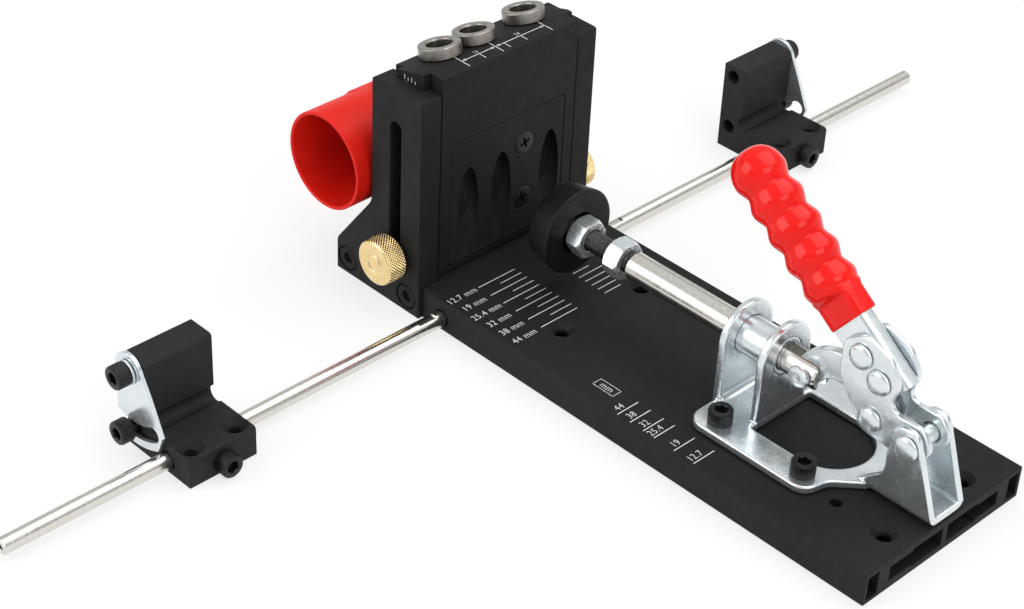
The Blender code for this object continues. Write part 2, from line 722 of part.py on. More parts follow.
def drill_cutter(name, radius, place_y, start, end):
    """Make a cutter along the drill axis between two distances down from the slope."""
    x, height = drill_place(end)
    return cylinder(name, radius, end - start, at_base(x, place_y, height),
                    (0, -DRILL_TILT, 0), steps=ROUND_STEPS)


def build_guide(head):
    """Make the guide block, the face plate and the two face screws."""
    rear_drop = (BLOCK_DEPTH - BLOCK_FLAT) * math.tan(DRILL_TILT)
    outline = [(-BLOCK_TOE_DEPTH, SEAT_GAP), (0, SEAT_GAP + BLOCK_TOE), (0, BLOCK_HEIGHT),
               (-BLOCK_FLAT, BLOCK_HEIGHT), (-BLOCK_DEPTH, BLOCK_HEIGHT - rear_drop),
               (-BLOCK_DEPTH, SEAT_GAP)]
    guide = plate("guide_block", [outline], 2 * TONGUE_HALF, at_base(FENCE_X, 0, 0), SIDE_VIEW,
                  BLACK)
    tongue_front = FENCE_X - TONGUE_SETBACK
    tongue_back = tongue_front - TONGUE_DEPTH
    top = BASE_THICK + BLOCK_HEIGHT + OVERRUN
    low = BASE_THICK - OVERRUN
    for side in (-1, 1):
        inner = side * BLOCK_HALF
        outer = side * (TONGUE_HALF + OVERRUN)
        cut(guide,
            block(f"tongue_front_{side}", (tongue_front, min(inner, outer), low),
                  (FENCE_X + OVERRUN, max(inner, outer), top)),
            block(f"tongue_back_{side}", (FENCE_X - BLOCK_DEPTH - OVERRUN, min(inner, outer), low),
                  (tongue_back, max(inner, outer), top)),
            cylinder(f"stud_thread_{side}", KNOB_STUD + SEAT_GAP,
                     TONGUE_PROUD + KNOB_STUD_IN_BLOCK + SEAT_GAP + OVERRUN,
                     at_base(FENCE_X - KNOB_SETBACK,
                             side * (BLOCK_HALF - KNOB_STUD_IN_BLOCK - SEAT_GAP), KNOB_RISE),
                     OUTWARD[side], steps=SMALL_STEPS))
    recess_loop = rectangle((-FACE_HALF - SEAT_GAP, FACE_LOW - SEAT_GAP),
                            (FACE_HALF + SEAT_GAP, FACE_HIGH + SEAT_GAP), FACE_CORNER + SEAT_GAP)
    recess_depth = FACE_THICK + SEAT_GAP
    cut(guide, plate("face_recess", [recess_loop], recess_depth + OVERRUN,
                     at_base(FENCE_X - (recess_depth - OVERRUN) / 2, 0, 0), END_VIEW))
    face = plate("face_plate", [rectangle((-FACE_HALF, FACE_LOW), (FACE_HALF, FACE_HIGH),
                                          FACE_CORNER)],
                 FACE_THICK, at_base(FENCE_X - FACE_THICK / 2, 0, 0), END_VIEW, BLACK)
    chamber = block("chip_chamber",
                    at_base(FENCE_X - BLOCK_DEPTH - OVERRUN, -CHAMBER_HALF, CHAMBER_LOW),
                    at_base(FENCE_X - CHAMBER_WALL, CHAMBER_HALF, CHAMBER_HIGH))
    cut(guide, chamber)
    bore_end = BLOCK_HEIGHT / math.cos(DRILL_TILT)
    for index, place_y in enumerate(BUSHING_PLACES, 1):
        seat = drill_cutter(f"bushing_seat_{index}", BUSHING_SHANK + SEAT_GAP, place_y,
                            -OVERRUN, BUSHING_SHANK_LENGTH + SEAT_GAP)
        bore = drill_cutter(f"drill_bore_{index}", DRILL_BORE, place_y, BUSHING_SHANK_LENGTH,
                            bore_end)
        cut(guide, seat, bore)
        cut(face, bore)
        carry(head, build_bushing(index, place_y))
    for index, drop in enumerate(FACE_SCREW_DROPS, 1):
        carry(head, build_face_screw(f"face_screw_{index}", FACE_HIGH - drop, face, guide))
    screw_height = PORT_RISE + PORT_FLANGE_HEIGHT / 2 - PORT_SCREW_EDGE
    for side in (-1, 1):
        thread_length = PORT_SCREW_LENGTH - PORT_FLANGE_THICK
        cut(guide, cylinder(f"port_thread_{side}", PORT_SCREW_SHANK + SEAT_GAP,
                            thread_length + OVERRUN,
                            at_base(FENCE_X - BLOCK_DEPTH + thread_length,
                                    side * PORT_SCREW_SPREAD, screw_height),
                            TOWARDS_MINUS_X, steps=SMALL_STEPS))
    carry(head, guide, face)


def build_face_screw(name, height, face, guide):
    """Make one countersunk cross recess screw and its holes."""
    place = at_base(FENCE_X, FACE_SCREW_PLACE, height)
    profile = [(0, 0), (FACE_SCREW_HEAD, 0), (FACE_SCREW_SHANK, -FACE_SCREW_HEAD_LENGTH),
               (FACE_SCREW_SHANK, -FACE_SCREW_LENGTH), (0, -FACE_SCREW_LENGTH)]
    screw = turned(name, profile, place, TOWARDS_PLUS_X, SCREW_BLACK, SMALL_STEPS)
    half_long = CROSS_LONG / 2
    half_wide = CROSS_WIDE / 2
    for label, half_y, half_z in (("a", half_long, half_wide), ("b", half_wide, half_long)):
        cut(screw, block(f"{name}_cross_{label}",
                         (place[0] - CROSS_DEEP, place[1] - half_y, place[2] - half_z),
                         (place[0] + OVERRUN, place[1] + half_y, place[2] + half_z)))
    wide = FACE_SCREW_HEAD + SEAT_GAP
    narrow = FACE_SCREW_SHANK + SEAT_GAP
    deep = FACE_SCREW_LENGTH + SEAT_GAP
    hole = turned(name + "_hole", [(0, OVERRUN), (wide, OVERRUN), (wide, 0),
                                   (narrow, -FACE_SCREW_HEAD_LENGTH), (narrow, -deep),
                                   (0, -deep)], place, TOWARDS_PLUS_X, steps=SMALL_STEPS)
    cut(face, hole)
    cut(guide, hole)
    return screw


def build_bushing(index, place_y):
    """Make one collared drill bushing with a chamfered bore."""
    x, height = drill_place(0)
    top = SEAT_GAP + BUSHING_COLLAR_LENGTH
    edge = BUSHING_CHAMFER
    profile = [(BUSHING_BORE + edge, top), (BUSHING_COLLAR - edge / 2, top),
               (BUSHING_COLLAR, top - edge / 2), (BUSHING_COLLAR, SEAT_GAP),
               (BUSHING_SHANK, SEAT_GAP), (BUSHING_SHANK, -BUSHING_SHANK_LENGTH),
               (BUSHING_BORE, -BUSHING_SHANK_LENGTH), (BUSHING_BORE, top - edge)]
    return turned(f"drill_bushing_{index}", profile, at_base(x, place_y, height),
                  (0, -DRILL_TILT, 0), STEEL, ROUND_STEPS, closed=True)


def build_dust_port(head):
    """Make the elbow shaped dust port and its two screws."""
    x = FENCE_X - PORT_SETBACK
    face_x = FENCE_X - BLOCK_DEPTH - SEAT_GAP
    port = cylinder("dust_port", PORT_RADIUS, PORT_MOUTH - PORT_TUBE_END,
                    at_base(x, -PORT_TUBE_END, PORT_RISE), TOWARDS_MINUS_Y, RED_PLASTIC)
    middle_y = (PORT_BOX_END - PORT_BOX_START) / 2
    span_y = PORT_BOX_END + PORT_BOX_START
    half = PORT_BOX_HEIGHT / 2

    def elbow(name, grow, front_x, span):
        rear = -PORT_BOX_REAR - grow
        front = front_x - x
        corner = PORT_BOX_ROUND + grow
        loop = rounded([(rear, -half - grow, corner), (front, -half - grow, 0),
                        (front, half + grow, 0), (rear, half + grow, corner)])
        return plate(name, [loop], span, at_base(x, middle_y, PORT_RISE), SIDE_VIEW)

    flange = block("port_flange",
                   at_base(face_x - PORT_FLANGE_THICK, -PORT_FLANGE_WIDTH / 2,
                           PORT_RISE - PORT_FLANGE_HEIGHT / 2),
                   at_base(face_x, PORT_FLANGE_WIDTH / 2, PORT_RISE + PORT_FLANGE_HEIGHT / 2))
    join(port, elbow("port_elbow", 0, face_x - PORT_FLANGE_THICK / 2, span_y), flange)
    bore_start = PORT_TUBE_END + PORT_WALL
    bore = cylinder("port_bore", PORT_RADIUS - PORT_WALL, PORT_MOUTH - bore_start + OVERRUN,
                    at_base(x, -bore_start, PORT_RISE), TOWARDS_MINUS_Y)
    hollow = elbow("port_hollow", -PORT_WALL, face_x + OVERRUN, span_y - 2 * PORT_WALL)
    cut(port, bore, hollow)
    screw_height = PORT_RISE + PORT_FLANGE_HEIGHT / 2 - PORT_SCREW_EDGE
    for side in (-1, 1):
        name = f"{SIDE_NAMES[side]}_port_screw"
        place = at_base(face_x - PORT_FLANGE_THICK - SEAT_GAP, side * PORT_SCREW_SPREAD,
                        screw_height)
        profile = screw_profile(PORT_SCREW_HEAD, PORT_SCREW_HEAD_LENGTH, PORT_SCREW_SHANK,
                                PORT_SCREW_LENGTH - SEAT_GAP)
        screw = turned(name, profile, place, TOWARDS_MINUS_X, SCREW_BLACK, SMALL_STEPS)
        hole = cylinder(name + "_hole", PORT_SCREW_SHANK + SEAT_GAP,
                        PORT_FLANGE_THICK + OVERRUN + OVERRUN,
                        at_base(face_x + OVERRUN, side * PORT_SCREW_SPREAD, screw_height),
                        TOWARDS_MINUS_X, steps=SMALL_STEPS)
        cut(port, hole)
        carry(head, screw)
    carry(head, port)


def build_knob(side, head):
    """Make one knurled brass knob with its collar and stud."""
    name = SIDE_NAMES[side] + "_knob"
    seat = POST_OUTER + SEAT_GAP
    wheel_start = seat + KNOB_COLLAR_LENGTH
    place = at_base(FENCE_X - KNOB_SETBACK, side * seat, KNOB_RISE)
    loop = []
    for step in range(2 * KNOB_FLUTES):
        radius = KNOB_RADIUS - KNOB_FLUTE_DEPTH * (step % 2)
        angle = math.pi * step / KNOB_FLUTES
        loop.append((radius * math.cos(angle), radius * math.sin(angle)))
    middle = side * (wheel_start + KNOB_LENGTH / 2)
    wheel = plate(name, [loop], KNOB_LENGTH, at_base(FENCE_X - KNOB_SETBACK, middle, KNOB_RISE),
                  SIDE_VIEW, BRASS)
    length = seat - BLOCK_HALF + KNOB_STUD_IN_BLOCK
    edge = KNOB_FLUTE_DEPTH
    inside = KNOB_COLLAR_LENGTH + KNOB_LENGTH / 2
    stud = turned(name + "_stud", [(0, inside), (KNOB_COLLAR, inside), (KNOB_COLLAR, 0),
                                   (KNOB_STUD, 0), (KNOB_STUD, -length + edge),
                                   (KNOB_STUD - edge, -length), (0, -length)],
                  place, OUTWARD[side], steps=SMALL_STEPS)
    join(wheel, stud)
    empty = carrier(SIDE_NAMES[side] + "_knob_axis", place)
    carry(empty, wheel)
    carry(head, empty)


# Side stops
def flip_outline():
    """Return the flip plate's outline about its pivot: +x is ahead, +y is up."""
    down = -QUARTER
    slot_half = M5_SHANK + FLIP_SLOT_SLACK
    slot_in = LIMIT_DROP - slot_half
    slot_out = LIMIT_DROP + slot_half
    end_angle = down + FLIP_SLOT_ANGLE
    end_centre = (LIMIT_DROP * math.cos(end_angle), LIMIT_DROP * math.sin(end_angle))
    edge_angle = down + FLIP_EDGE_ANGLE
    lip = (FLIP_REACH - slot_out) / 2
    lip_angle = down + FLIP_HOOK_ANGLE
    lip_centre = ((slot_out + lip) * math.cos(lip_angle), (slot_out + lip) * math.sin(lip_angle))
    points = arc((0, 0), FLIP_HEAD, math.radians(15), math.radians(195), 10)
    points += arc((0, 0), slot_in, down + FLIP_MOUTH_ANGLE, end_angle, 10)
    points += arc(end_centre, slot_half, end_angle + math.pi, end_angle, 8)[1:-1]
    points += arc((0, 0), slot_out, end_angle, lip_angle, 8)
    points += arc(lip_centre, lip, lip_angle + math.pi, lip_angle + 2 * math.pi, 6)[1:-1]
    points += arc((0, 0), FLIP_REACH, lip_angle, down + FLIP_TOE_ANGLE, 8)
    points.append((FLIP_EDGE_REACH * math.cos(edge_angle), FLIP_EDGE_REACH * math.sin(edge_angle)))
    points.append((FLIP_EDGE_AHEAD, -FLIP_EDGE_DROP))
    return points


def build_stop(side):
    """Make one side stop with its flip plate and screws."""
    name = SIDE_NAMES[side]
    centre = side * STOP_PLACES[side]
    outline = [(-STOP_DEPTH, 0), (STOP_TOE, 0), (STOP_TOE, STOP_FOOT_HEIGHT),
               (0, STOP_FOOT_HEIGHT), (0, STOP_HEIGHT), (-STOP_DEPTH, STOP_HEIGHT)]
    body = plate(name + "_stop_block", [outline], STOP_WIDTH, (FENCE_X, centre, 0), SIDE_VIEW,
                 BLACK)
    length = STOP_WIDTH + OVERRUN + OVERRUN
    start_y = centre - length / 2
    bores = (("rod", ROD_X, ROD_RISE, ROD_RADIUS + SEAT_GAP),
             ("relief", FENCE_X + STOP_RELIEF_AHEAD, STOP_FOOT_HEIGHT + STOP_RELIEF_RISE,
              STOP_RELIEF),
             ("pivot", FENCE_X - PIVOT_SETBACK, PIVOT_RISE, M5_SHANK + SEAT_GAP),
             ("limit", FENCE_X - PIVOT_SETBACK, PIVOT_RISE - LIMIT_DROP, M5_SHANK + SEAT_GAP))
    for label, x, z, radius in bores:
        cut(body, cylinder(f"{name}_{label}_hole", radius, length, (x, start_y, z),
                           TOWARDS_PLUS_Y, steps=SMALL_STEPS))
    hole_x = FENCE_X + STOP_TOE - STOP_HOLE_EDGE
    sink = STOP_HOLE_SINK - STOP_HOLE
    for step in (-1, 1):
        top = STOP_FOOT_HEIGHT
        cut(body, turned(f"{name}_stop_hole", [
            (0, top + OVERRUN), (STOP_HOLE_SINK, top + OVERRUN), (STOP_HOLE_SINK, top),
            (STOP_HOLE, top - sink), (STOP_HOLE, -OVERRUN), (0, -OVERRUN),
        ], (hole_x, centre + step * STOP_HOLE_SPREAD, 0), UPRIGHT, steps=SMALL_STEPS))
    tip_x = ROD_X + ROD_RADIUS + SEAT_GAP
    seat_x = FENCE_X + STOP_TOE + SEAT_GAP
    thread_length = STOP_TOE - ROD_AHEAD + OVERRUN
    cut(body, cylinder(name + "_rod_thread", M5_SHANK + SEAT_GAP, thread_length,
                       (ROD_X, centre, ROD_RISE), TOWARDS_PLUS_X, steps=SMALL_STEPS))
    face = centre + side * STOP_WIDTH / 2
    rod_screw = socket_screw(name + "_rod_screw", (seat_x, centre, ROD_RISE), TOWARDS_PLUS_X,
                             seat_x - tip_x)
    limit_place = (FENCE_X - PIVOT_SETBACK, face + side * STOP_SCREW_STANDOFF,
                   PIVOT_RISE - LIMIT_DROP)
    limit_screw = socket_screw(name + "_limit_screw", limit_place, OUTWARD[side], M5_STOP_LENGTH)
    pivot_place = (FENCE_X - PIVOT_SETBACK, face + side * STOP_SCREW_STANDOFF, PIVOT_RISE)
    pivot_screw = socket_screw(name + "_pivot_screw", pivot_place, OUTWARD[side], M5_STOP_LENGTH)
    bore = circle((0, 0), M5_SHANK + SEAT_GAP)
    plate_middle = face + side * (SEAT_GAP + FLIP_THICK / 2)
    flip = plate(name + "_flip_plate", [flip_outline(), bore], FLIP_THICK,
                 (FENCE_X - PIVOT_SETBACK, plate_middle, PIVOT_RISE), SIDE_VIEW, ZINC)
    washer_middle = face + side * (2 * SEAT_GAP + FLIP_THICK + FLIP_WASHER_THICK / 2)
    washer = plate(name + "_pivot_washer", [circle((0, 0), FLIP_WASHER, ROUND_STEPS), bore],
                   FLIP_WASHER_THICK, (FENCE_X - PIVOT_SETBACK, washer_middle, PIVOT_RISE),
                   SIDE_VIEW, ZINC)
    slide = carrier(name + "_stop_slide", (ROD_X, centre, ROD_RISE))
    swing = carrier(name + "_flip_axis", (FENCE_X - PIVOT_SETBACK, face, PIVOT_RISE))
    turn = carrier(name + "_rod_screw_axis", (seat_x, centre, ROD_RISE))
    carry(swing, flip)
    carry(turn, rod_screw)
    carry(slide, body, limit_screw, pivot_screw, washer, swing, turn)


# Toggle clamp
def clamp_screw_places():
    """Return the X places of the clamp's front and rear screws."""
    front = EAR_X - EAR_SPAN + EAR_OVERHANG + FLANGE_SCREW_FRONT
    rear = CLAMP_X - FLANGE_REAR - FLANGE_SCREW_REAR
    return front, rear


def build_clamp_base():
    """Make the clamp's stamped base with its flange, ears and rear cheeks."""
    half = FLANGE_WIDTH / 2
    front = EAR_X - EAR_SPAN + EAR_OVERHANG
    rear = CLAMP_X - FLANGE_REAR
    tail = CLAMP_X - FLANGE_TAIL
    waist = CHEEK_INNER + CHEEK_THICK - CHEEK_PROUD
    outline = rounded([(front, -half, FLANGE_CORNER), (rear, -half, FLANGE_CORNER),
                       (rear + FLANGE_WAIST_BACK, -FLANGE_WAIST, FLANGE_CORNER),
                       (tail, -waist, 0), (tail, waist, 0),
                       (rear + FLANGE_WAIST_BACK, FLANGE_WAIST, FLANGE_CORNER),
                       (rear, half, FLANGE_CORNER), (front, half, FLANGE_CORNER)])
    horseshoe = HORSESHOE_WIDTH / 2
    round_x = CLAMP_X - HORSESHOE_END - horseshoe
    opening = [(EAR_X + SEAT_GAP, horseshoe), (EAR_X + SEAT_GAP, -horseshoe)]
    opening += arc((round_x, 0), horseshoe, -QUARTER, QUARTER, SMALL_STEPS)
    middle = SEAT_GAP + FLANGE_THICK / 2
    base = plate("clamp_base", [outline, opening], FLANGE_THICK, at_base(0, 0, middle), UPRIGHT,
                 ZINC)
    lift = middle - AXIS_HEIGHT
    for label, ear_x in (("front", EAR_X - EAR_SPAN), ("rear", EAR_X - EAR_THICK)):
        shape = [(EAR_RADIUS, lift)] + arc((0, 0), EAR_RADIUS, 0, math.pi, SMALL_STEPS)
        shape.append((-EAR_RADIUS, lift))
        hole = circle((0, 0), SLEEVE_RADIUS + SEAT_GAP, ROUND_STEPS)
        ear = plate(f"{label}_ear", [shape, hole], EAR_THICK,
                    (ear_x + EAR_THICK / 2, 0, CLAMP_Z), END_VIEW)
        join(base, ear)
    join(base, build_cheeks())
    for place_x in clamp_screw_places():
        for side in (-1, 1):
            place = at_base(place_x, side * FLANGE_SCREW_SPREAD, -OVERRUN)
            cut(base, cylinder(f"clamp_hole_{side}", M5_SHANK + SEAT_GAP,
                               FLANGE_THICK + 2 * OVERRUN, place, UPRIGHT, steps=SMALL_STEPS))
    return base


def build_cheeks():
    """Make the U-shaped rear bracket: a bent section cut to its side outline."""
    cheek = CHEEK_INNER + CHEEK_THICK
    low = SEAT_GAP + CHEEK_LIFT - AXIS_HEIGHT
    floor = low + CHEEK_FLOOR
    section = rounded([(-cheek, low, CHEEK_ROUND), (cheek, low, CHEEK_ROUND),
                       (cheek, CHEEK_TOP + OVERRUN, 0), (CHEEK_INNER, CHEEK_TOP + OVERRUN, 0),
                       (CHEEK_INNER, floor, CHEEK_INNER_ROUND),
                       (-CHEEK_INNER, floor, CHEEK_INNER_ROUND),
                       (-CHEEK_INNER, CHEEK_TOP + OVERRUN, 0), (-cheek, CHEEK_TOP + OVERRUN, 0)])
    front = -CHEEK_FRONT_FOOT
    length = CHEEK_REAR + CHEEK_FRONT_FOOT
    bracket = plate("cheeks", [section], length,
                    (CLAMP_X + (CHEEK_REAR + front) / 2, 0, CLAMP_Z), END_VIEW)
    outline = rounded([(front - OVERRUN, low - OVERRUN, 0), (CHEEK_REAR, low - OVERRUN, 0),
                       (CHEEK_REAR, low + FLANGE_THICK, 0),
                       (CHEEK_TOP / 2, CHEEK_TOP, CHEEK_TOP * 0.7),
                       (-CHEEK_TOP, CHEEK_TOP, CHEEK_TOP * 0.8),
                       (-CHEEK_GUSSET_AHEAD, low + CHEEK_GUSSET_RISE, CHEEK_TOP),
                       (front - OVERRUN, low + FLANGE_THICK / 2, 0)])
    reach = cheek + OVERRUN
    side = plate("cheek_side", [outline], reach + reach, (CLAMP_X, 0, CLAMP_Z), SIDE_VIEW)
    hole = cylinder("pivot_hole", RIVET_RADIUS + SEAT_GAP, reach + reach,
                    (CLAMP_X, -reach, CLAMP_Z), TOWARDS_PLUS_Y, steps=SMALL_STEPS)
    combine(bracket, "INTERSECT", side)
    return cut(bracket, hole)


def build_sleeve():
    """Make the tube that guides the plunger between the ears."""
    inner = PLUNGER_RADIUS + SEAT_GAP
    profile = [(inner, EAR_SPAN), (SLEEVE_RADIUS, EAR_SPAN), (SLEEVE_RADIUS, 0), (inner, 0)]
    return turned("plunger_sleeve", profile, (EAR_X - EAR_SPAN, 0, CLAMP_Z), TOWARDS_PLUS_X,
                  ZINC, closed=True)


def build_plunger():
    """Make the plunger: bored in front for the spindle and slotted at its tail."""
    length = PLUNGER_LENGTH
    edge = PLUNGER_CHAMFER
    profile = [(0, length), (PLUNGER_RADIUS - edge, length), (PLUNGER_RADIUS, length - edge),
               (PLUNGER_RADIUS, edge), (PLUNGER_RADIUS - edge, 0), (0, 0)]
    plunger = turned("plunger", profile, (PLUNGER_X, 0, CLAMP_Z), TOWARDS_PLUS_X, STEEL)
    bore = cylinder("spindle_bore", SPINDLE_RADIUS + SEAT_GAP,
                    SPINDLE_IN_PLUNGER + SPINDLE_SPARE + OVERRUN,
                    (PLUNGER_X - OVERRUN, 0, CLAMP_Z), TOWARDS_PLUS_X)
    half = PLUNGER_SLOT / 2
    reach = PLUNGER_RADIUS + OVERRUN
    slot = block("tail_slot", (TAIL_X - PLUNGER_SLOT_DEPTH, -half, CLAMP_Z - reach),
                 (TAIL_X + OVERRUN, half, CLAMP_Z + reach))
    pin_hole = cylinder("pin_hole", PIN_RADIUS + SEAT_GAP, reach + reach,
                        (PIN_X, -reach, CLAMP_Z), TOWARDS_PLUS_Y)
    cut(plunger, pin_hole, slot, bore)
    pins = []
    seat = PLUNGER_RADIUS + SEAT_GAP
    for side in (-1, 1):
        length = seat - half
        profile = [(0, RIVET_HEAD_LENGTH), (PIN_HEAD * 0.8, RIVET_HEAD_LENGTH),
                   (PIN_HEAD, RIVET_HEAD_LENGTH / 2), (PIN_HEAD, 0), (PIN_RADIUS, 0),
                   (PIN_RADIUS, -length), (0, -length)]
        pins.append(turned(f"plunger_pin_{FAR_NAMES[side]}", profile,
                           (PIN_X, side * seat, CLAMP_Z), OUTWARD[side], ZINC, SMALL_STEPS))
    return [plunger] + pins


def build_spindle():
    """Make the spindle bolt, its cap nut and the rubber cap."""
    cap_back = CAP_X
    cap_front = CAP_X - CAP_LENGTH
    head_x = cap_front + CAP_FACE + SEAT_GAP
    end_x = PLUNGER_X + SPINDLE_IN_PLUNGER
    length = end_x - head_x - SPINDLE_HEAD_LENGTH
    edge = SPINDLE_RADIUS * 0.15
    shank = turned("spindle_bolt", [(0, length), (SPINDLE_RADIUS - edge, length),
                                    (SPINDLE_RADIUS, length - edge), (SPINDLE_RADIUS, -edge),
                                    (0, -edge)],
                   (head_x + SPINDLE_HEAD_LENGTH, 0, CLAMP_Z), TOWARDS_PLUS_X, ZINC)
    head = plate("spindle_head", [hexagon(NUT_RADIUS)], SPINDLE_HEAD_LENGTH,
                 (head_x + SPINDLE_HEAD_LENGTH / 2, 0, CLAMP_Z), END_VIEW)
    join(shank, head)
    nut = hex_nut("cap_nut", cap_back + SEAT_GAP, ZINC)
    pocket = NUT_RADIUS + SEAT_GAP
    length = CAP_LENGTH
    profile = [(0, CAP_FACE), (pocket, CAP_FACE), (pocket, length),
               (CAP_BACK_RADIUS - CAP_ROUND, length), (CAP_BACK_RADIUS, length - CAP_ROUND),
               (CAP_FRONT_RADIUS, CAP_ROUND), (CAP_FRONT_RADIUS - CAP_ROUND, 0), (0, 0)]
    cap = turned("rubber_cap", profile, (cap_front, 0, CLAMP_Z), TOWARDS_PLUS_X, RUBBER)
    return [shank, nut, cap]


def rivet(name, place_x, place_z, reach, material=ZINC):
    """Make a rivet across the clamp whose heads sit just outside a half width."""
    seat = reach + SEAT_GAP
    top = seat + RIVET_HEAD_LENGTH
    crown = RIVET_HEAD * 0.78
    profile = [(0, top), (crown, top), (RIVET_HEAD, top - RIVET_HEAD_LENGTH / 2),
               (RIVET_HEAD, seat), (RIVET_RADIUS, seat), (RIVET_RADIUS, -seat),
               (RIVET_HEAD, -seat), (RIVET_HEAD, -top + RIVET_HEAD_LENGTH / 2), (crown, -top),
               (0, -top)]
    return turned(name, profile, (place_x, 0, place_z), TOWARDS_PLUS_Y, material, SMALL_STEPS)


def build_link():
    """Make the bowed link that pushes the plunger, with its eye on the link rivet."""
    bow_radius = (LINK_SPAN * LINK_SPAN / 4 + LINK_BOW * LINK_BOW) / (2 * LINK_BOW)
    centre = (-LINK_SPAN / 2, LINK_BOW - bow_radius)
    start = math.atan2(-centre[1], -LINK_SPAN / 2)
    end = math.pi - start
    eye = PLUNGER_EYE
    outline = arc(centre, bow_radius + eye, start, end, 16)
    outline += arc((0, 0), eye, end, end - math.pi, 10)[1:-1]
    outline += arc(centre, bow_radius - eye, end, start, 12)
    outline += arc((-LINK_SPAN, 0), eye, start + math.pi, start, 10)[1:-1]
    hole = circle((0, 0), RIVET_RADIUS + SEAT_GAP)
    return plate("link", [outline, hole], LINK_THICK, (LINK_X, 0, CLAMP_Z), SIDE_VIEW, ZINC)


def build_yoke(side):
    """Make one of the two yoke plates that carry the handle."""
    outline = rounded([(CRANK * x, CRANK * y, CRANK * r) for x, y, r in YOKE_OUTLINE_SHARES])
    hole = RIVET_RADIUS + SEAT_GAP
    loops = [outline, circle((0, 0), hole), circle((-CRANK, 0), hole)]
    for share_x, share_z in (UPPER_RIVET_SHARES, LOWER_RIVET_SHARES):
        loops.append(circle((CRANK * share_x, CRANK * share_z), hole))
    middle = side * (YOKE_INNER + YOKE_THICK / 2)
    return plate(f"yoke_plate_{FAR_NAMES[side]}", loops, YOKE_THICK, (CLAMP_X, middle, CLAMP_Z),
                 SIDE_VIEW, ZINC)


def handle_frame():
    """Return the matrix of the handle: own +Z runs up the bar, own +X away from the yoke."""
    along = HANDLE_DIRECTION
    across = Vector((0, 1, 0))
    outer = across.cross(along)
    place = Vector((LOWER_RIVET[0], 0, LOWER_RIVET[1]))
    turn = Matrix((outer, across, along)).transposed().to_4x4()
    return Matrix.Translation(place) @ turn


def build_handle_bar():
    """Make the U-shaped handle bar, open towards the work."""
    half = BAR_DEPTH / 2
    inner = BAR_HALF_THICK - BAR_WALL
    section = [(-half, -BAR_HALF_THICK), (half, -BAR_HALF_THICK), (half, BAR_HALF_THICK),
               (-half, BAR_HALF_THICK), (-half, inner), (half - BAR_WALL, inner),
               (half - BAR_WALL, -inner), (-half, -inner)]
    length = BAR_END + BAR_START
    bar = plate("handle_bar", [section], length, (0, 0, 0), UPRIGHT, ZINC)
    frame = handle_frame()
    bar.matrix_world = frame @ Matrix.Translation((0, 0, (BAR_END - BAR_START) / 2))
    reach = BAR_HALF_THICK + OVERRUN
    for label, (x, z) in (("upper", UPPER_RIVET), ("lower", LOWER_RIVET)):
        cut(bar, cylinder(f"bar_hole_{label}", RIVET_RADIUS + SEAT_GAP, reach + reach,
                          (x, -reach, z), TOWARDS_PLUS_Y, steps=SMALL_STEPS))
    return bar


def grip_sections():
    """Return the grip's sections: place along the bar, half depth and half thickness."""
    sleeve_depth = BAR_DEPTH / 2 + SEAT_GAP + GRIP_WALL
    sleeve_thick = BAR_HALF_THICK + SEAT_GAP + GRIP_WALL
    sleeve_end = GRIP_START + GRIP_SLEEVE_LENGTH
    sections = [(GRIP_START, sleeve_depth, sleeve_thick), (sleeve_end, sleeve_depth, sleeve_thick)]
    waist = (GRIP_BULGE + GRIP_NECK) / 2
    swing = (GRIP_BULGE - GRIP_NECK) / 2
    rings = GRIP_RINGS_PER_BULGE
    start = GRIP_FIRST_BULGE - GRIP_BULGE_PITCH / 4
    last = GRIP_FIRST_BULGE + GRIP_BULGE_PITCH * (GRIP_BULGES - 1)
    count = round((last - start) / GRIP_BULGE_PITCH * rings)
    for step in range(count + 1):
        place = start + (last - start) * step / count
        wave = math.cos(2 * math.pi * (place - GRIP_FIRST_BULGE) / GRIP_BULGE_PITCH)
        radius = waist + swing * wave
        sections.append((place, radius, radius))
    for step in range(1, rings):
        angle = QUARTER * step / rings
        radius = GRIP_BULGE * math.cos(angle)
        sections.append((last + GRIP_BULGE * math.sin(angle), radius, radius))
    return sections


def build_grip():
    """Make the ribbed vinyl grip as a loft of oval sections with a pocket for the bar."""
    shape = bmesh.new()
    rings = []
    for place, depth, thick in grip_sections():
        ring = []
        for step in range(GRIP_SIDES):
            angle = 2 * math.pi * step / GRIP_SIDES
            boxy = 1 if depth == thick else 2.2
            wave_x = math.copysign(abs(math.cos(angle)) ** (1 / boxy), math.cos(angle))
            wave_y = math.copysign(abs(math.sin(angle)) ** (1 / boxy), math.sin(angle))
            ring.append(shape.verts.new((depth * wave_x, thick * wave_y, place)))
        rings.append(ring)
    for lower, upper in zip(rings, rings[1:]):
        for step in range(GRIP_SIDES):
            after = (step + 1) % GRIP_SIDES
            shape.faces.new((lower[step], lower[after], upper[after], upper[step]))
    shape.faces.new(rings[0])
    shape.faces.new(rings[-1])
    grip = new_object("grip", mesh_from(shape, "grip"), (0, 0, 0), UPRIGHT, RED_VINYL)
    frame = handle_frame()
    grip.matrix_world = frame
    half_x = BAR_DEPTH / 2 + SEAT_GAP
    half_y = BAR_HALF_THICK + SEAT_GAP
    pocket = block("grip_pocket", (-half_x, -half_y, GRIP_START - OVERRUN),
                   (half_x, half_y, BAR_END + SEAT_GAP))
    pocket.matrix_world = frame @ pocket.matrix_basis
    return cut(grip, pocket)


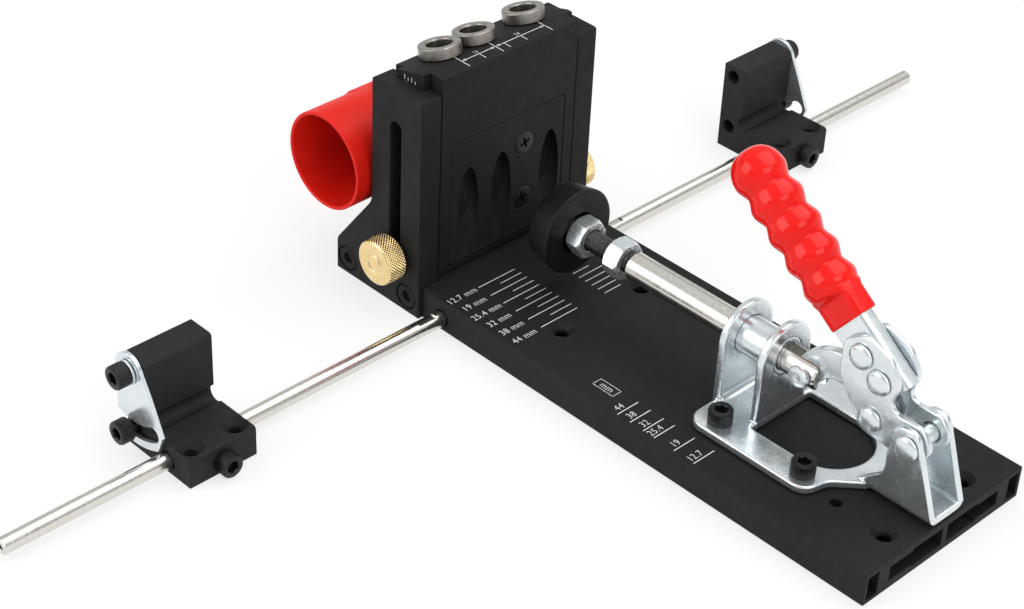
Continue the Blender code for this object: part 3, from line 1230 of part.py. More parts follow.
def build_clamp():
    """Make the whole toggle clamp and parent its pieces to their joints."""
    build_clamp_base()
    build_sleeve()
    rivet("pivot_rivet", CLAMP_X, CLAMP_Z, CHEEK_INNER + CHEEK_THICK)
    index = 1
    for place_x in clamp_screw_places():
        for side in (-1, 1):
            place = at_base(place_x, side * FLANGE_SCREW_SPREAD, 2 * SEAT_GAP + FLANGE_THICK)
            socket_screw(f"clamp_screw_{index}", place, UPRIGHT, M5_CLAMP_LENGTH)
            index += 1
    slide = carrier("plunger_slide", (PIN_X, 0, CLAMP_Z))
    thread = carrier("spindle_slide", (PLUNGER_X, 0, CLAMP_Z))
    nut_turn = carrier("lock_nut_axis", (PLUNGER_X - LOCK_NUT_BACK - NUT_LENGTH, 0, CLAMP_Z))
    carry(thread, *build_spindle())
    carry(nut_turn, hex_nut("lock_nut", PLUNGER_X - LOCK_NUT_BACK - NUT_LENGTH, ZINC))
    carry(slide, *build_plunger())
    carry(slide, thread, nut_turn)
    swing = carrier("handle_axis", (CLAMP_X, 0, CLAMP_Z))
    link_axis = carrier("link_axis", (LINK_X, 0, CLAMP_Z))
    outer = YOKE_INNER + YOKE_THICK
    carry(link_axis, build_link())
    carry(swing, build_yoke(-1), build_yoke(1), build_handle_bar(), build_grip(),
          rivet("handle_rivet_upper", *UPPER_RIVET, outer),
          rivet("handle_rivet_lower", *LOWER_RIVET, outer),
          rivet("link_rivet", LINK_X, CLAMP_Z, outer), link_axis)


def build_jig():
    """Make the whole jig."""
    build_base()
    head = carrier("guide_slide", at_base(FENCE_X, 0, 0))
    build_guide(head)
    build_dust_port(head)
    for side in (-1, 1):
        build_post(side)
        build_rod(side)
        build_knob(side, head)
        build_stop(side)
    build_clamp()


build_jig()
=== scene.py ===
"""Looks of the pocket hole jig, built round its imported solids.

Units are metres, in the part's own frame: +X runs from the fence to the clamp, +Y along the rods.
"""
import json
import math

import bmesh
import bpy
from mathutils import Matrix, Vector

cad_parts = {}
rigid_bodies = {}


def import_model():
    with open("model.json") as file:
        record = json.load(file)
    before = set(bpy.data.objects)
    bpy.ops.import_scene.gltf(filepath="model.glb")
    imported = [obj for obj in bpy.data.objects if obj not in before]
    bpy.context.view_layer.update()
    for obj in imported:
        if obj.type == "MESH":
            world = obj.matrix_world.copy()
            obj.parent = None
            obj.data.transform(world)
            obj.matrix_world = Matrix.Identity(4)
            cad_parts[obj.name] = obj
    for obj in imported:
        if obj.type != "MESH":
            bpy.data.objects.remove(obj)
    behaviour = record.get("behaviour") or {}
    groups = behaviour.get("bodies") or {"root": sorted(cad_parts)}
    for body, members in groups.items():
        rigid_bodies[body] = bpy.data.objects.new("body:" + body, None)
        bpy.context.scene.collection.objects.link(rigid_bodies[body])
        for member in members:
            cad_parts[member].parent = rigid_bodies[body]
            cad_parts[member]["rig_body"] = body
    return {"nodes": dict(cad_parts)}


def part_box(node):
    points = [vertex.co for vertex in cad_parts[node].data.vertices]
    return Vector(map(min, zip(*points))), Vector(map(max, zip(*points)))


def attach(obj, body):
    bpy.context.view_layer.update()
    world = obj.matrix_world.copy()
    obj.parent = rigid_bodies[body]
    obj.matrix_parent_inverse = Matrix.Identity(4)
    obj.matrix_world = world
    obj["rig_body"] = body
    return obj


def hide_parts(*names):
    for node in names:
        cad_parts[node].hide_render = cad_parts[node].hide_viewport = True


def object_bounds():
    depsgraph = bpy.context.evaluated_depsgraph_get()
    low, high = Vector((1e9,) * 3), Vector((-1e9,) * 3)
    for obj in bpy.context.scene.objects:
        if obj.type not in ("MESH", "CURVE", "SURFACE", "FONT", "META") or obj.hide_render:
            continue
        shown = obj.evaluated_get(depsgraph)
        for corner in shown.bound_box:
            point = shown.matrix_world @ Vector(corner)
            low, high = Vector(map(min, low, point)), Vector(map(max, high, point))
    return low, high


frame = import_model()
cad_low, cad_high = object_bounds()
NODES = frame["nodes"]

# Camera of the photograph
CAMERA_PLACE = (0.41797, -0.50042, 0.48781)
CAMERA_TURN = -0.79438438
CAMERA_TILT = 0.61749329
CAMERA_ROLL = 0.0474027
CAMERA_LENS = 81.77
SENSOR_WIDTH = 36.0

# Clearance between pieces that touch, and how far a cutter reaches past a surface
GAP = 0.0003
OVERRUN = 0.002

# Driving places, read from the solids
BASE_LOW, BASE_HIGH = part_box("base_plate")
BLOCK_LOW, BLOCK_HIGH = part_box("guide_block")
FACE_LOW, FACE_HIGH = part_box("face_plate")
PLUNGER_LOW, PLUNGER_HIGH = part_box("plunger")
SLEEVE_LOW, SLEEVE_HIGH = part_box("plunger_sleeve")
BASE_TOP = BASE_HIGH.z
BASE_HALF = BASE_HIGH.y
FENCE = BLOCK_HIGH.x
AXIS_Z = (PLUNGER_LOW.z + PLUNGER_HIGH.z) / 2

# Turns that lay a shape's own axis along a world axis
QUARTER = math.pi / 2
UPRIGHT = Matrix.Identity(4)
SIDE_VIEW = Matrix.Rotation(QUARTER, 4, "X")
END_VIEW = Matrix.Rotation(QUARTER, 4, "Z") @ Matrix.Rotation(QUARTER, 4, "X")
ALONG_X = Matrix.Rotation(QUARTER, 4, "Y")
ALONG_Y = Matrix.Rotation(-QUARTER, 4, "X")
AGAINST_Y = Matrix.Rotation(QUARTER, 4, "X")
OUTWARD = {-1: AGAINST_Y, 1: ALONG_Y}
SIDES = {-1: "left", 1: "right"}
FAR = {-1: "near", 1: "far"}

ROUND = 96
SMALL_ROUND = 48


# Materials
def new_node(tree, kind, sources, **values):
    """Add a shader node with its linked sources and set values."""
    node = tree.nodes.new("ShaderNode" + kind)
    for socket, output in sources.items():
        tree.links.new(output, node.inputs[socket])
    for key, value in values.items():
        node.inputs[key.replace("_", " ")].default_value = value
    return node


def fill_ramp(ramp, stops):
    """Set a colour ramp to its (place, colour) stops."""
    while len(ramp.elements) < len(stops):
        ramp.elements.new(0.5)
    for element, (place, colour) in zip(ramp.elements, stops):
        element.position = place
        element.color = (*colour, 1)


class Finish:
    """A procedural material, with short calls for the nodes that the finishes share."""

    def __init__(self, name, slot, **values):
        self.slot = slot
        self.material = bpy.data.materials.new(name)
        self.material.use_nodes = True
        self.tree = self.material.node_tree
        self.shader = self.tree.nodes["Principled BSDF"]
        for key, value in values.items():
            self.shader.inputs[key.replace("_", " ")].default_value = value
        self.place = self.tree.nodes.new("ShaderNodeTexCoord").outputs["Object"]

    def noise(self, scale, detail=3.0, rough=0.55):
        """Return a noise value; the scale is in cells per metre, one for all axes or for each."""
        place = self.place
        if isinstance(scale, tuple):
            place = new_node(self.tree, "Mapping", {"Vector": place}, Scale=scale).outputs["Vector"]
            scale = 1.0
        return new_node(self.tree, "TexNoise", {"Vector": place}, Scale=scale, Detail=detail,
                        Roughness=rough).outputs["Fac"]

    def tones(self, value, *stops):
        """Colour the surface by a value, through (place, colour) stops."""
        ramp = new_node(self.tree, "ValToRGB", {"Fac": value})
        fill_ramp(ramp.color_ramp, stops)
        self.tree.links.new(ramp.outputs["Color"], self.shader.inputs["Base Color"])

    def gloss(self, value, low, high):
        """Spread the roughness from low to high over the middle of a noise value."""
        spread = new_node(self.tree, "MapRange", {"Value": value}, From_Min=0.35, From_Max=0.65,
                          To_Min=low, To_Max=high)
        self.tree.links.new(spread.outputs["Result"], self.shader.inputs["Roughness"])

    def relief(self, *layers):
        """Stack bumps given as (height output, height in metres)."""
        below = {}
        for height, distance in layers:
            bump = new_node(self.tree, "Bump", {"Height": height, **below}, Strength=1.0,
                            Distance=distance)
            below = {"Normal": bump.outputs["Normal"]}
        self.tree.links.new(below["Normal"], self.shader.inputs["Normal"])
        return self


def anodised(name="black_anodised_blasted", dark=0.0095, pale=0.0130):
    """Bead blasted black anodised aluminium."""
    finish = Finish(name, "black_anodised", Metallic=0.0, Roughness=0.6, Specular_IOR_Level=0.18)
    finish.tones(finish.noise(28, 4, 0.6), (0.3, (dark, dark, dark * 1.05)),
                 (0.7, (pale, pale, pale * 1.05)))
    finish.gloss(finish.noise(240, 4), 0.58, 0.68)
    return finish.relief((finish.noise(5200, 2), 0.00003), (finish.noise(900, 2), 0.00001))


def black_oxide():
    """Black oxide of the screws, a little brighter where the coating is thin."""
    finish = Finish("black_oxide_steel", "black_screw", Metallic=0.2, Roughness=0.35,
                    Specular_IOR_Level=0.35)
    finish.tones(finish.noise(900, 4), (0.35, (0.004, 0.004, 0.0045)),
                 (0.75, (0.014, 0.0135, 0.0135)))
    finish.gloss(finish.noise(1500), 0.24, 0.42)
    return finish.relief((finish.noise(3800), 0.00005))


def nickel(name, scale):
    """Bright ground steel with fine marks along its length."""
    finish = Finish(name, "bright_steel", Metallic=1.0, Roughness=0.2)
    marks = finish.noise(scale, 4, 0.6)
    finish.tones(marks, (0.30, (0.66, 0.64, 0.59)), (0.70, (0.76, 0.74, 0.69)))
    finish.gloss(marks, 0.17, 0.25)
    return finish.relief((marks, 0.000002))


def turned_steel():
    """Dull turned steel of the drill bushings."""
    finish = Finish("turned_bushing_steel", "bright_steel", Metallic=1.0, Roughness=0.35)
    finish.tones(finish.noise(500, 4), (0.30, (0.25, 0.235, 0.21)), (0.70, (0.37, 0.35, 0.32)))
    finish.gloss(finish.noise(1400), 0.28, 0.42)
    return finish.relief((finish.noise((900.0, 900.0, 5000.0), 4, 0.6), 0.00003))


def zinc(name="zinc_plated_steel", grain=0.000010, metal=0.82):
    """Zinc plate with its milky clear coat: bluish white, softly clouded, with tiny pits."""
    finish = Finish(name, "zinc_plate", Metallic=metal, Roughness=0.25)
    finish.tones(finish.noise(70, 4, 0.5), (0.25, (0.66, 0.72, 0.75)),
                 (0.55, (0.74, 0.79, 0.81)), (0.8, (0.82, 0.86, 0.88)))
    finish.gloss(finish.noise(300, 4), 0.17, 0.28)
    return finish.relief((finish.noise(1600), grain), (finish.noise(140, 2), 0.00002))


def brass():
    """Turned brass, slightly uneven in tone."""
    finish = Finish("knurled_brass", "brass", Metallic=1.0, Roughness=0.2)
    finish.tones(finish.noise(300), (0.3, (0.82, 0.60, 0.27)), (0.7, (0.92, 0.72, 0.38)))
    finish.gloss(finish.noise(900), 0.15, 0.26)
    return finish.relief((finish.noise(2500), 0.000006))


def red_plastic():
    """Moulded red plastic with a fine satin skin."""
    finish = Finish("moulded_red_plastic", "red_plastic", Metallic=0.0, Roughness=0.45,
                    Specular_IOR_Level=0.16)
    finish.tones(finish.noise(60, 4), (0.3, (0.64, 0.010, 0.005)), (0.7, (0.71, 0.016, 0.008)))
    finish.gloss(finish.noise(700), 0.40, 0.52)
    layers = finish.noise((180.0, 1500.0, 180.0), 3, 0.5)
    return finish.relief((finish.noise(2600), 0.00003), (layers, 0.00002))


def red_vinyl():
    """Dipped red vinyl, glossy and slightly wavy."""
    finish = Finish("dipped_red_vinyl", "red_vinyl", Metallic=0.0, Roughness=0.14,
                    Specular_IOR_Level=0.22)
    finish.tones(finish.noise(80), (0.3, (0.68, 0.007, 0.005)), (0.7, (0.76, 0.011, 0.008)))
    finish.gloss(finish.noise(500), 0.10, 0.18)
    return finish.relief((finish.noise(90, 2), 0.00020), (finish.noise(900, 2), 0.00001))


def thread_steel():
    """Black oxide of the spindle thread, painted lighter and more metallic than the screws' so that
    its crests show brighter highlights; the tone varies at random.
    """
    finish = Finish("thread_steel_painted_lighter", "black_screw", Metallic=0.85, Roughness=0.3)
    finish.tones(finish.noise(1200, 4), (0.35, (0.05, 0.05, 0.05)), (0.75, (0.11, 0.108, 0.105)))
    finish.gloss(finish.noise(1500), 0.26, 0.38)
    return finish.relief((finish.noise(3800), 0.00001))


def rubber():
    """Matt moulded black rubber."""
    finish = Finish("moulded_black_rubber", "black_rubber", Metallic=0.0, Roughness=0.5,
                    Specular_IOR_Level=0.22)
    finish.tones(finish.noise(120, 4), (0.3, (0.003, 0.003, 0.003)), (0.7, (0.006, 0.006, 0.006)))
    finish.gloss(finish.noise(600, 4), 0.38, 0.52)
    return finish.relief((finish.noise(2200, 4), 0.00004))


def white_ink():
    """White printing ink, a little uneven over the blasted surface."""
    finish = Finish("white_printing_ink", "black_anodised", Metallic=0.0, Roughness=0.5)
    finish.tones(finish.noise(2500), (0.30, (0.45, 0.45, 0.45)), (0.55, (0.72, 0.72, 0.72)))
    return finish.relief((finish.noise(4000, 2), 0.00002))


BLACK = anodised()
# Painted light: a lighter copy of the same anodised finish for the stop blocks, standing in for the
# brighter light that falls on their tops.
STOP_BLACK_PAINTED_LIGHTER = anodised("black_anodised_stop_painted_lighter", 0.014, 0.019)
SCREW = black_oxide()
ROD_STEEL = nickel("nickel_rod", (700.0, 9.0, 700.0))
PLUNGER_STEEL = nickel("nickel_plunger", (9.0, 700.0, 700.0))
# Painted highlight: the thread's black oxide is a lighter copy of the screws', so that its crests
# catch more light.
THREAD_STEEL = thread_steel()
BUSHING_STEEL = turned_steel()
ZINC = zinc()
SAND_ZINC = zinc("zinc_plated_bracket", 0.000035, 0.90)
BRASS = brass()
RED_PLASTIC = red_plastic()
RED_VINYL = red_vinyl()
RUBBER = rubber()
INK = white_ink()


# Places and objects
def at(x, y, z):
    """Return a matrix that moves to a place."""
    return Matrix.Translation((x, y, z))


def extent(name):
    """Return a node's lowest corner, highest corner and middle."""
    low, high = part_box(name)
    return low, high, (low + high) / 2


def from_middle(low, high):
    """Return a box's nearer and farther distance from the middle plane."""
    return sorted((abs(low.y), abs(high.y)))


def new_object(name, data, place):
    """Put an object in the scene at a matrix."""
    piece = bpy.data.objects.new(name, data)
    bpy.context.scene.collection.objects.link(piece)
    piece.matrix_world = place
    return piece


def settled(piece):
    """Return the mesh that an object shows, with its modifiers or curve settings applied."""
    graph = bpy.context.evaluated_depsgraph_get()
    return bpy.data.meshes.new_from_object(piece.evaluated_get(graph))


def show(piece, finish, node, angle=32):
    """Finish a piece with smooth shading and sharp edges, in the place of a node."""
    mesh = piece.data
    mesh.materials.clear()
    mesh.materials.append(finish.material)
    mesh.shade_smooth()
    mesh.set_sharp_from_angle(angle=math.radians(angle))
    weighted = piece.modifiers.new("weighted", "WEIGHTED_NORMAL")
    weighted.keep_sharp = True
    weighted.weight = 80
    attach(piece, NODES[node]["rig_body"])
    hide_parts(node)


# Outlines
def polar(radius, angle, centre=(0, 0)):
    """Return the point at a radius and an angle round a centre."""
    return (centre[0] + radius * math.cos(angle), centre[1] + radius * math.sin(angle))


def arc(centre, radius, start, end, steps=8):
    """Return points of an arc, both ends included."""
    return [polar(radius, start + (end - start) * step / steps, centre)
            for step in range(steps + 1)]


def circle(centre, radius, steps=SMALL_ROUND):
    """Return points of a full circle."""
    return arc(centre, radius, 0, 2 * math.pi, steps)[:-1]


def rounded(corners, closed=True, steps=6):
    """Return an outline whose corners, given as (x, y, radius), are rounded off."""
    points = []
    count = len(corners)
    for index, (x, y, radius) in enumerate(corners):
        ends = not closed and index in (0, count - 1)
        if radius == 0 or ends:
            points.append((x, y))
            continue
        corner = Vector((x, y))
        back = (Vector(corners[index - 1][:2]) - corner).normalized()
        ahead = (Vector(corners[(index + 1) % count][:2]) - corner).normalized()
        half = back.angle(ahead) / 2
        centre = corner + (back + ahead).normalized() * radius / math.sin(half)
        first = corner + back * radius / math.tan(half) - centre
        last = corner + ahead * radius / math.tan(half) - centre
        start = math.atan2(first.y, first.x)
        points.extend(arc(centre, radius, start, start - first.angle_signed(last), steps))
    return points


def box_outline(low, high, radius=0.0):
    """Return a rectangle's outline with rounded corners."""
    return rounded([(low[0], low[1], radius), (high[0], low[1], radius),
                    (high[0], high[1], radius), (low[0], high[1], radius)])


def turns_left(loop):
    """Say whether an outline runs anticlockwise."""
    return sum(a[0] * b[1] - b[0] * a[1] for a, b in zip(loop, loop[1:] + loop[:1])) > 0


# Solid shapes
def solid(name, shape, place=UPRIGHT):
    """Turn closed shells into an object at a matrix."""
    bmesh.ops.recalc_face_normals(shape, faces=shape.faces)
    mesh = bpy.data.meshes.new(name)
    shape.to_mesh(mesh)
    shape.free()
    return new_object(name, mesh, place)


def skin(shape, rings):
    """Make the faces between neighbouring rings; a ring of one vertex closes to a point."""
    for lower, upper in zip(rings, rings[1:]):
        for step in range(len(lower)):
            after = (step + 1) % len(lower)
            corners = []
            for vertex in (lower[step], lower[after], upper[after], upper[step]):
                if vertex not in corners:
                    corners.append(vertex)
            if len(corners) > 2:
                shape.faces.new(corners)


def lathe(name, profile, place, steps=SMALL_ROUND, closed=False, wave=None):
    """Turn a profile of (radius, height) pairs about its own Z; wave may change each radius."""
    shape = bmesh.new()
    rings = []
    for radius, height in profile:
        if radius < GAP / 10:
            rings.append([shape.verts.new((0, 0, height))] * steps)
            continue
        ring = []
        for step in range(steps):
            angle = 2 * math.pi * step / steps
            own = radius if wave is None else wave(radius, angle, height)
            ring.append(shape.verts.new((*polar(own, angle), height)))
        rings.append(ring)
    skin(shape, rings + rings[:1] if closed else rings)
    return solid(name, shape, place)


def slab(name, loops, thickness, place, edge=0.0003):
    """Extrude flat loops, the first one outside and the rest holes, with eased edges."""
    curve = bpy.data.curves.new(name, "CURVE")
    curve.dimensions = "2D"
    curve.fill_mode = "BOTH"
    curve.extrude = thickness / 2 - edge
    curve.bevel_depth = edge
    curve.bevel_resolution = 2
    curve.offset = -edge
    for index, loop in enumerate(loops):
        points = list(loop)
        if turns_left(points) == (index > 0):
            points.reverse()
        spline = curve.splines.new("POLY")
        spline.points.add(len(points) - 1)
        for point, (x, y) in zip(spline.points, points):
            point.co = (x, y, 0, 1)
        spline.use_cyclic_u = True
    drawing = new_object(name + "_drawing", curve, UPRIGHT)
    shape = bmesh.new()
    shape.from_mesh(settled(drawing))
    bpy.data.objects.remove(drawing, do_unlink=True)
    bmesh.ops.remove_doubles(shape, verts=shape.verts, dist=0.000002)
    return solid(name, shape, place)


def side_slab(name, loops, low, high, edge=0.0003, x=FENCE, z=0):
    """Extrude loops drawn in side view, from the lower corner's y to the higher one's."""
    return slab(name, loops, high.y - low.y, at(x, (low.y + high.y) / 2, z) @ SIDE_VIEW, edge)


def plug(name, radius, start, end, place, steps=SMALL_ROUND):
    """Make a plain cylinder between two heights of its own Z."""
    return lathe(name, [(0, start), (radius, start), (radius, end), (0, end)], place, steps)


def brick(name, corner, opposite):
    """Make a plain box for cutting, from two opposite corners."""
    low = Vector(map(min, corner, opposite))
    high = Vector(map(max, corner, opposite))
    shape = bmesh.new()
    bmesh.ops.create_cube(shape, size=1)
    bmesh.ops.scale(shape, vec=high - low, verts=shape.verts)
    return solid(name, shape, Matrix.Translation((low + high) / 2))


def drill(radius, depth, place, ease=0.0003, sink=0.0, sink_depth=0.0):
    """Make a cutter that bores from its place along its own -Z, with an eased or sunk mouth."""
    top = max(radius + ease, sink)
    fall = sink_depth if sink else ease
    wide = top + (top - radius) / fall * GAP
    return lathe("drill", [(0, OVERRUN), (wide, OVERRUN), (wide, GAP), (radius, -fall),
                           (radius, -depth), (0, -depth)], place)


def combine(piece, operation, others):
    """Apply a Boolean of the other objects to the piece and remove them."""
    for other in others:
        change = piece.modifiers.new("change", "BOOLEAN")
        change.operation = operation
        change.object = other
        change.solver = "EXACT"
    mesh = settled(piece)
    piece.modifiers.clear()
    piece.data = mesh
    for other in others:
        bpy.data.objects.remove(other, do_unlink=True)
    return piece


def cut(piece, *others):
    """Cut the other objects out of the piece."""
    combine(piece, "DIFFERENCE", others)


def cut_each(piece, others):
    """Cut the other objects out of the piece, one after another."""
    for other in others:
        cut(piece, other)


def merge(name, *pieces):
    """Put several closed shapes into one mesh, which a later remesh fuses."""
    shape = bmesh.new()
    for piece in pieces:
        piece.data.transform(piece.matrix_world)
        shape.from_mesh(piece.data)
        bpy.data.objects.remove(piece, do_unlink=True)
    return solid(name, shape)


# Base plate, posts and rods
BASE_WEB = 0.0026
BASE_CHANNEL = 0.0265
BASE_RIB = 0.0057
BASE_EDGE_CHANNEL = 0.0053
BASE_STEP = 0.0007
BASE_STEP_PLACE = 0.0165
TOP_WALL = 0.0028
FLOOR_WALL = 0.0025
EDGE_TOP_WALL = 0.0019
EDGE_FLOOR_WALL = 0.0015
NOTCH_HALF = 0.0326
BENCH_HOLE = 0.0025
BENCH_SINK = 0.0045
BENCH_SPREAD = 0.020
BENCH_FROM_FENCE = 0.050
BENCH_FROM_END = 0.0094
SPARE_HOLE = 0.0021
SPARE_FROM_END = 0.0289
ROD_RADIUS = 0.003
ROD_HOLE_DEPTH = 0.0115
ROD_FLAT = (0.0035, 0.0115)
POST_DEPTH = 0.0254
POST_HEEL_RISE = 0.0255
POST_SLOT_HALF = 0.0028
POST_SLOT_TRAVEL = 0.0532
POST_GROOVE = (0.0061, 0.0199)
FOOT_SCREW_BACK = (0.0068, 0.03865)
FOOT_SCREW_SINK = 0.0047
FOOT_SCREW_DEPTH = 0.0032


def base_section():
    """Return the base plate's section: its outline, two wide channels and two edge channels."""
    start = BASE_WEB / 2
    end = start + BASE_CHANNEL
    ceiling = BASE_TOP - TOP_WALL
    edge_start = end + BASE_RIB
    edge_end = edge_start + BASE_EDGE_CHANNEL
    channel = [(start, FLOOR_WALL), (BASE_STEP_PLACE, FLOOR_WALL),
               (BASE_STEP_PLACE, FLOOR_WALL + BASE_STEP), (end, FLOOR_WALL + BASE_STEP),
               (end, ceiling - BASE_STEP), (BASE_STEP_PLACE, ceiling - BASE_STEP),
               (BASE_STEP_PLACE, ceiling), (start, ceiling)]
    edge_channel = [(edge_start, EDGE_FLOOR_WALL), (edge_end, EDGE_FLOOR_WALL),
                    (edge_end, BASE_TOP - EDGE_TOP_WALL), (edge_start, BASE_TOP - EDGE_TOP_WALL)]
    loops = [box_outline((-BASE_HALF, 0), (BASE_HALF, BASE_TOP), 0.0006)]
    for side in SIDES:
        loops += [[(side * y, z) for y, z in loop] for loop in (channel, edge_channel)]
    return loops


def dress_base():
    """Show the extruded base plate with open channels and countersunk holes."""
    base = slab("base_extrusion", base_section(), BASE_HIGH.x - BASE_LOW.x, END_VIEW, 0.00025)
    cutters = []
    for side, label in SIDES.items():
        cutters.append(brick("notch", (BASE_LOW.x - OVERRUN, side * NOTCH_HALF, -OVERRUN),
                             (FENCE + GAP, side * (BASE_HALF + OVERRUN), BASE_TOP + OVERRUN)))
        rod = extent(f"{label}_rod")[2]
        cutters.append(drill(ROD_RADIUS + GAP, ROD_HOLE_DEPTH,
                             at(rod.x, side * BASE_HALF, rod.z) @ OUTWARD[side]))
        for x in (FENCE + BENCH_FROM_FENCE, BASE_HIGH.x - BENCH_FROM_END):
            cutters.append(drill(BENCH_HOLE, BASE_TOP + OVERRUN,
                                 at(x, side * BENCH_SPREAD, BASE_TOP), sink=BENCH_SINK,
                                 sink_depth=BENCH_SINK - BENCH_HOLE))
    cutters.append(drill(SPARE_HOLE, BASE_TOP / 2,
                         at(BASE_HIGH.x - SPARE_FROM_END, -BENCH_SPREAD, BASE_TOP)))
    cut_each(base, cutters)
    show(base, BLACK, "base_plate")


def dress_post(side):
    """Show one slotted side post."""
    name = f"{SIDES[side]}_post"
    low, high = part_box(name)
    heel = high.x - low.x
    outline = rounded([(0, 0, 0), (0, high.z, 0.0012), (-POST_DEPTH, high.z, 0.0012),
                       (-POST_DEPTH, BASE_TOP + POST_HEEL_RISE, 0.008),
                       (-heel, BASE_TOP + 0.0005, 0.004), (-heel, 0, 0)])
    knob = extent(f"{SIDES[side]}_knob")[2]
    slot_low = knob.z - 0.0016
    slot = (arc((knob.x - FENCE, slot_low + POST_SLOT_TRAVEL), POST_SLOT_HALF, 0, math.pi, 12)
            + arc((knob.x - FENCE, slot_low), POST_SLOT_HALF, math.pi, 2 * math.pi, 12))
    post = side_slab(name + "_plate", [outline, slot], low, high, 0.0004)
    inner = from_middle(low, high)[0]
    cutters = [brick("groove", (FENCE - POST_GROOVE[1], side * (inner - OVERRUN), BASE_TOP),
                     (FENCE - POST_GROOVE[0], side * (BLOCK_HIGH.y + 0.0004), high.z + OVERRUN))]
    for back in FOOT_SCREW_BACK:
        cutters.append(drill(FOOT_SCREW_SINK + GAP, FOOT_SCREW_DEPTH,
                             at(FENCE - back, side * (inner + high.y - low.y), BASE_TOP / 2)
                             @ OUTWARD[side]))
    cut(post, *cutters)
    show(post, BLACK, name)


def dress_rod(side):
    """Show one ground rod with its end hole and wrench flat."""
    name = f"{SIDES[side]}_rod"
    low, high, middle = extent(name)
    length = high.y - low.y
    rod = lathe(name + "_bar", [
        (0, length - 0.0045), (0.0012, length - 0.004), (0.0012, length - 0.0003),
        (0.0015, length), (ROD_RADIUS - 0.0005, length), (ROD_RADIUS - 0.0001, length - 0.0003),
        (ROD_RADIUS, length - 0.0007), (ROD_RADIUS, 0), (0, 0)],
        at(middle.x, side * from_middle(low, high)[0], middle.z) @ OUTWARD[side], ROUND)
    near, far = (side * (BASE_HALF + place) for place in ROD_FLAT)
    cut(rod, brick("flat", (middle.x - ROD_RADIUS, near, high.z - 0.0005),
                   (middle.x + ROD_RADIUS, far, high.z + OVERRUN)))
    show(rod, ROD_STEEL, name)


# Guide head
DRILL_TILT = math.radians(15.5)
DRILL_BORE = 0.005
DRILL_DEPTH = 0.116
BUSHING_PLACES = (-0.019, -0.003, 0.021)
BUSHING_SETBACK = 0.01577
BLOCK_FLAT = 0.0085
BUSHING_BORE = 0.0048
BUSHING_COLLAR = 0.00775
BUSHING_SHANK = 0.00625
COLLAR_TOP = 0.0046
SHANK_LENGTH = 0.022
BLOCK_HALF = 0.0325
TONGUE_FRONT = 0.0065
TONGUE_BACK = 0.0195
RECESS_DEPTH = 0.0043
CHAMBER_HALF = 0.0255
CHAMBER_HEIGHTS = (0.0385, 0.0503)
CHAMBER_WALL = 0.007
FACE_CORNER = 0.002
FACE_BORE_DEPTH = 0.095
FACE_SINK = 0.0048
FACE_SCREW_HOLE = 0.0022
FACE_SCREW_SHANK = 0.0019
FACE_SCREW_LENGTH = 0.006
CROSS_HALF = (0.0024, 0.0005)
CROSS_DEPTH = 0.0015
CROSS_TURN = 0.35


def drill_axis(y):
    """Return the matrix of a drill bushing: own +Z points up out of the sloping top."""
    drop = (BUSHING_SETBACK - BLOCK_FLAT) * math.tan(DRILL_TILT)
    start = at(FENCE - BUSHING_SETBACK, y, BLOCK_HIGH.z - drop)
    return start @ Matrix.Rotation(-DRILL_TILT, 4, "Y")


def dress_block():
    """Show the guide block with its sloping top and side tongues."""
    depth = BLOCK_HIGH.x - BLOCK_LOW.x
    height = BLOCK_HIGH.z
    rear_drop = (depth - BLOCK_FLAT) * math.tan(DRILL_TILT)
    outline = [(-0.0012, BLOCK_LOW.z), (0, BLOCK_LOW.z + 0.0027), (0, height),
               (-BLOCK_FLAT, height), (-depth, height - rear_drop), (-depth, BLOCK_LOW.z)]
    block = slab("guide_block_body", [outline], BLOCK_HIGH.y * 2, at(FENCE, 0, 0) @ SIDE_VIEW)
    cutters = []
    for side in SIDES:
        for front, back in ((-OVERRUN, TONGUE_FRONT), (TONGUE_BACK, depth + OVERRUN)):
            cutters.append(brick("tongue", (FENCE - back, side * BLOCK_HALF, -OVERRUN),
                                 (FENCE - front, side * (BLOCK_HIGH.y + OVERRUN),
                                  height + OVERRUN)))
    seat = BUSHING_SHANK + GAP
    bore = [(0, OVERRUN), (seat, OVERRUN), (seat, -SHANK_LENGTH), (DRILL_BORE, -SHANK_LENGTH),
            (DRILL_BORE, -DRILL_DEPTH), (0, -DRILL_DEPTH)]
    cutters += [lathe("stepped_bore", bore, drill_axis(y)) for y in BUSHING_PLACES]
    recess = box_outline((FACE_LOW.y - GAP, FACE_LOW.z - GAP),
                         (FACE_HIGH.y + GAP, FACE_HIGH.z + GAP), FACE_CORNER + GAP)
    thick = RECESS_DEPTH + OVERRUN
    cutters.append(slab("recess", [recess], thick,
                        at(FENCE - RECESS_DEPTH + thick / 2, 0, 0) @ END_VIEW, 0.0001))
    cutters.append(brick("chamber", (BLOCK_LOW.x - OVERRUN, -CHAMBER_HALF, CHAMBER_HEIGHTS[0]),
                         (FENCE - CHAMBER_WALL, CHAMBER_HALF, CHAMBER_HEIGHTS[1])))
    cut_each(block, cutters)
    show(block, BLACK, "guide_block")


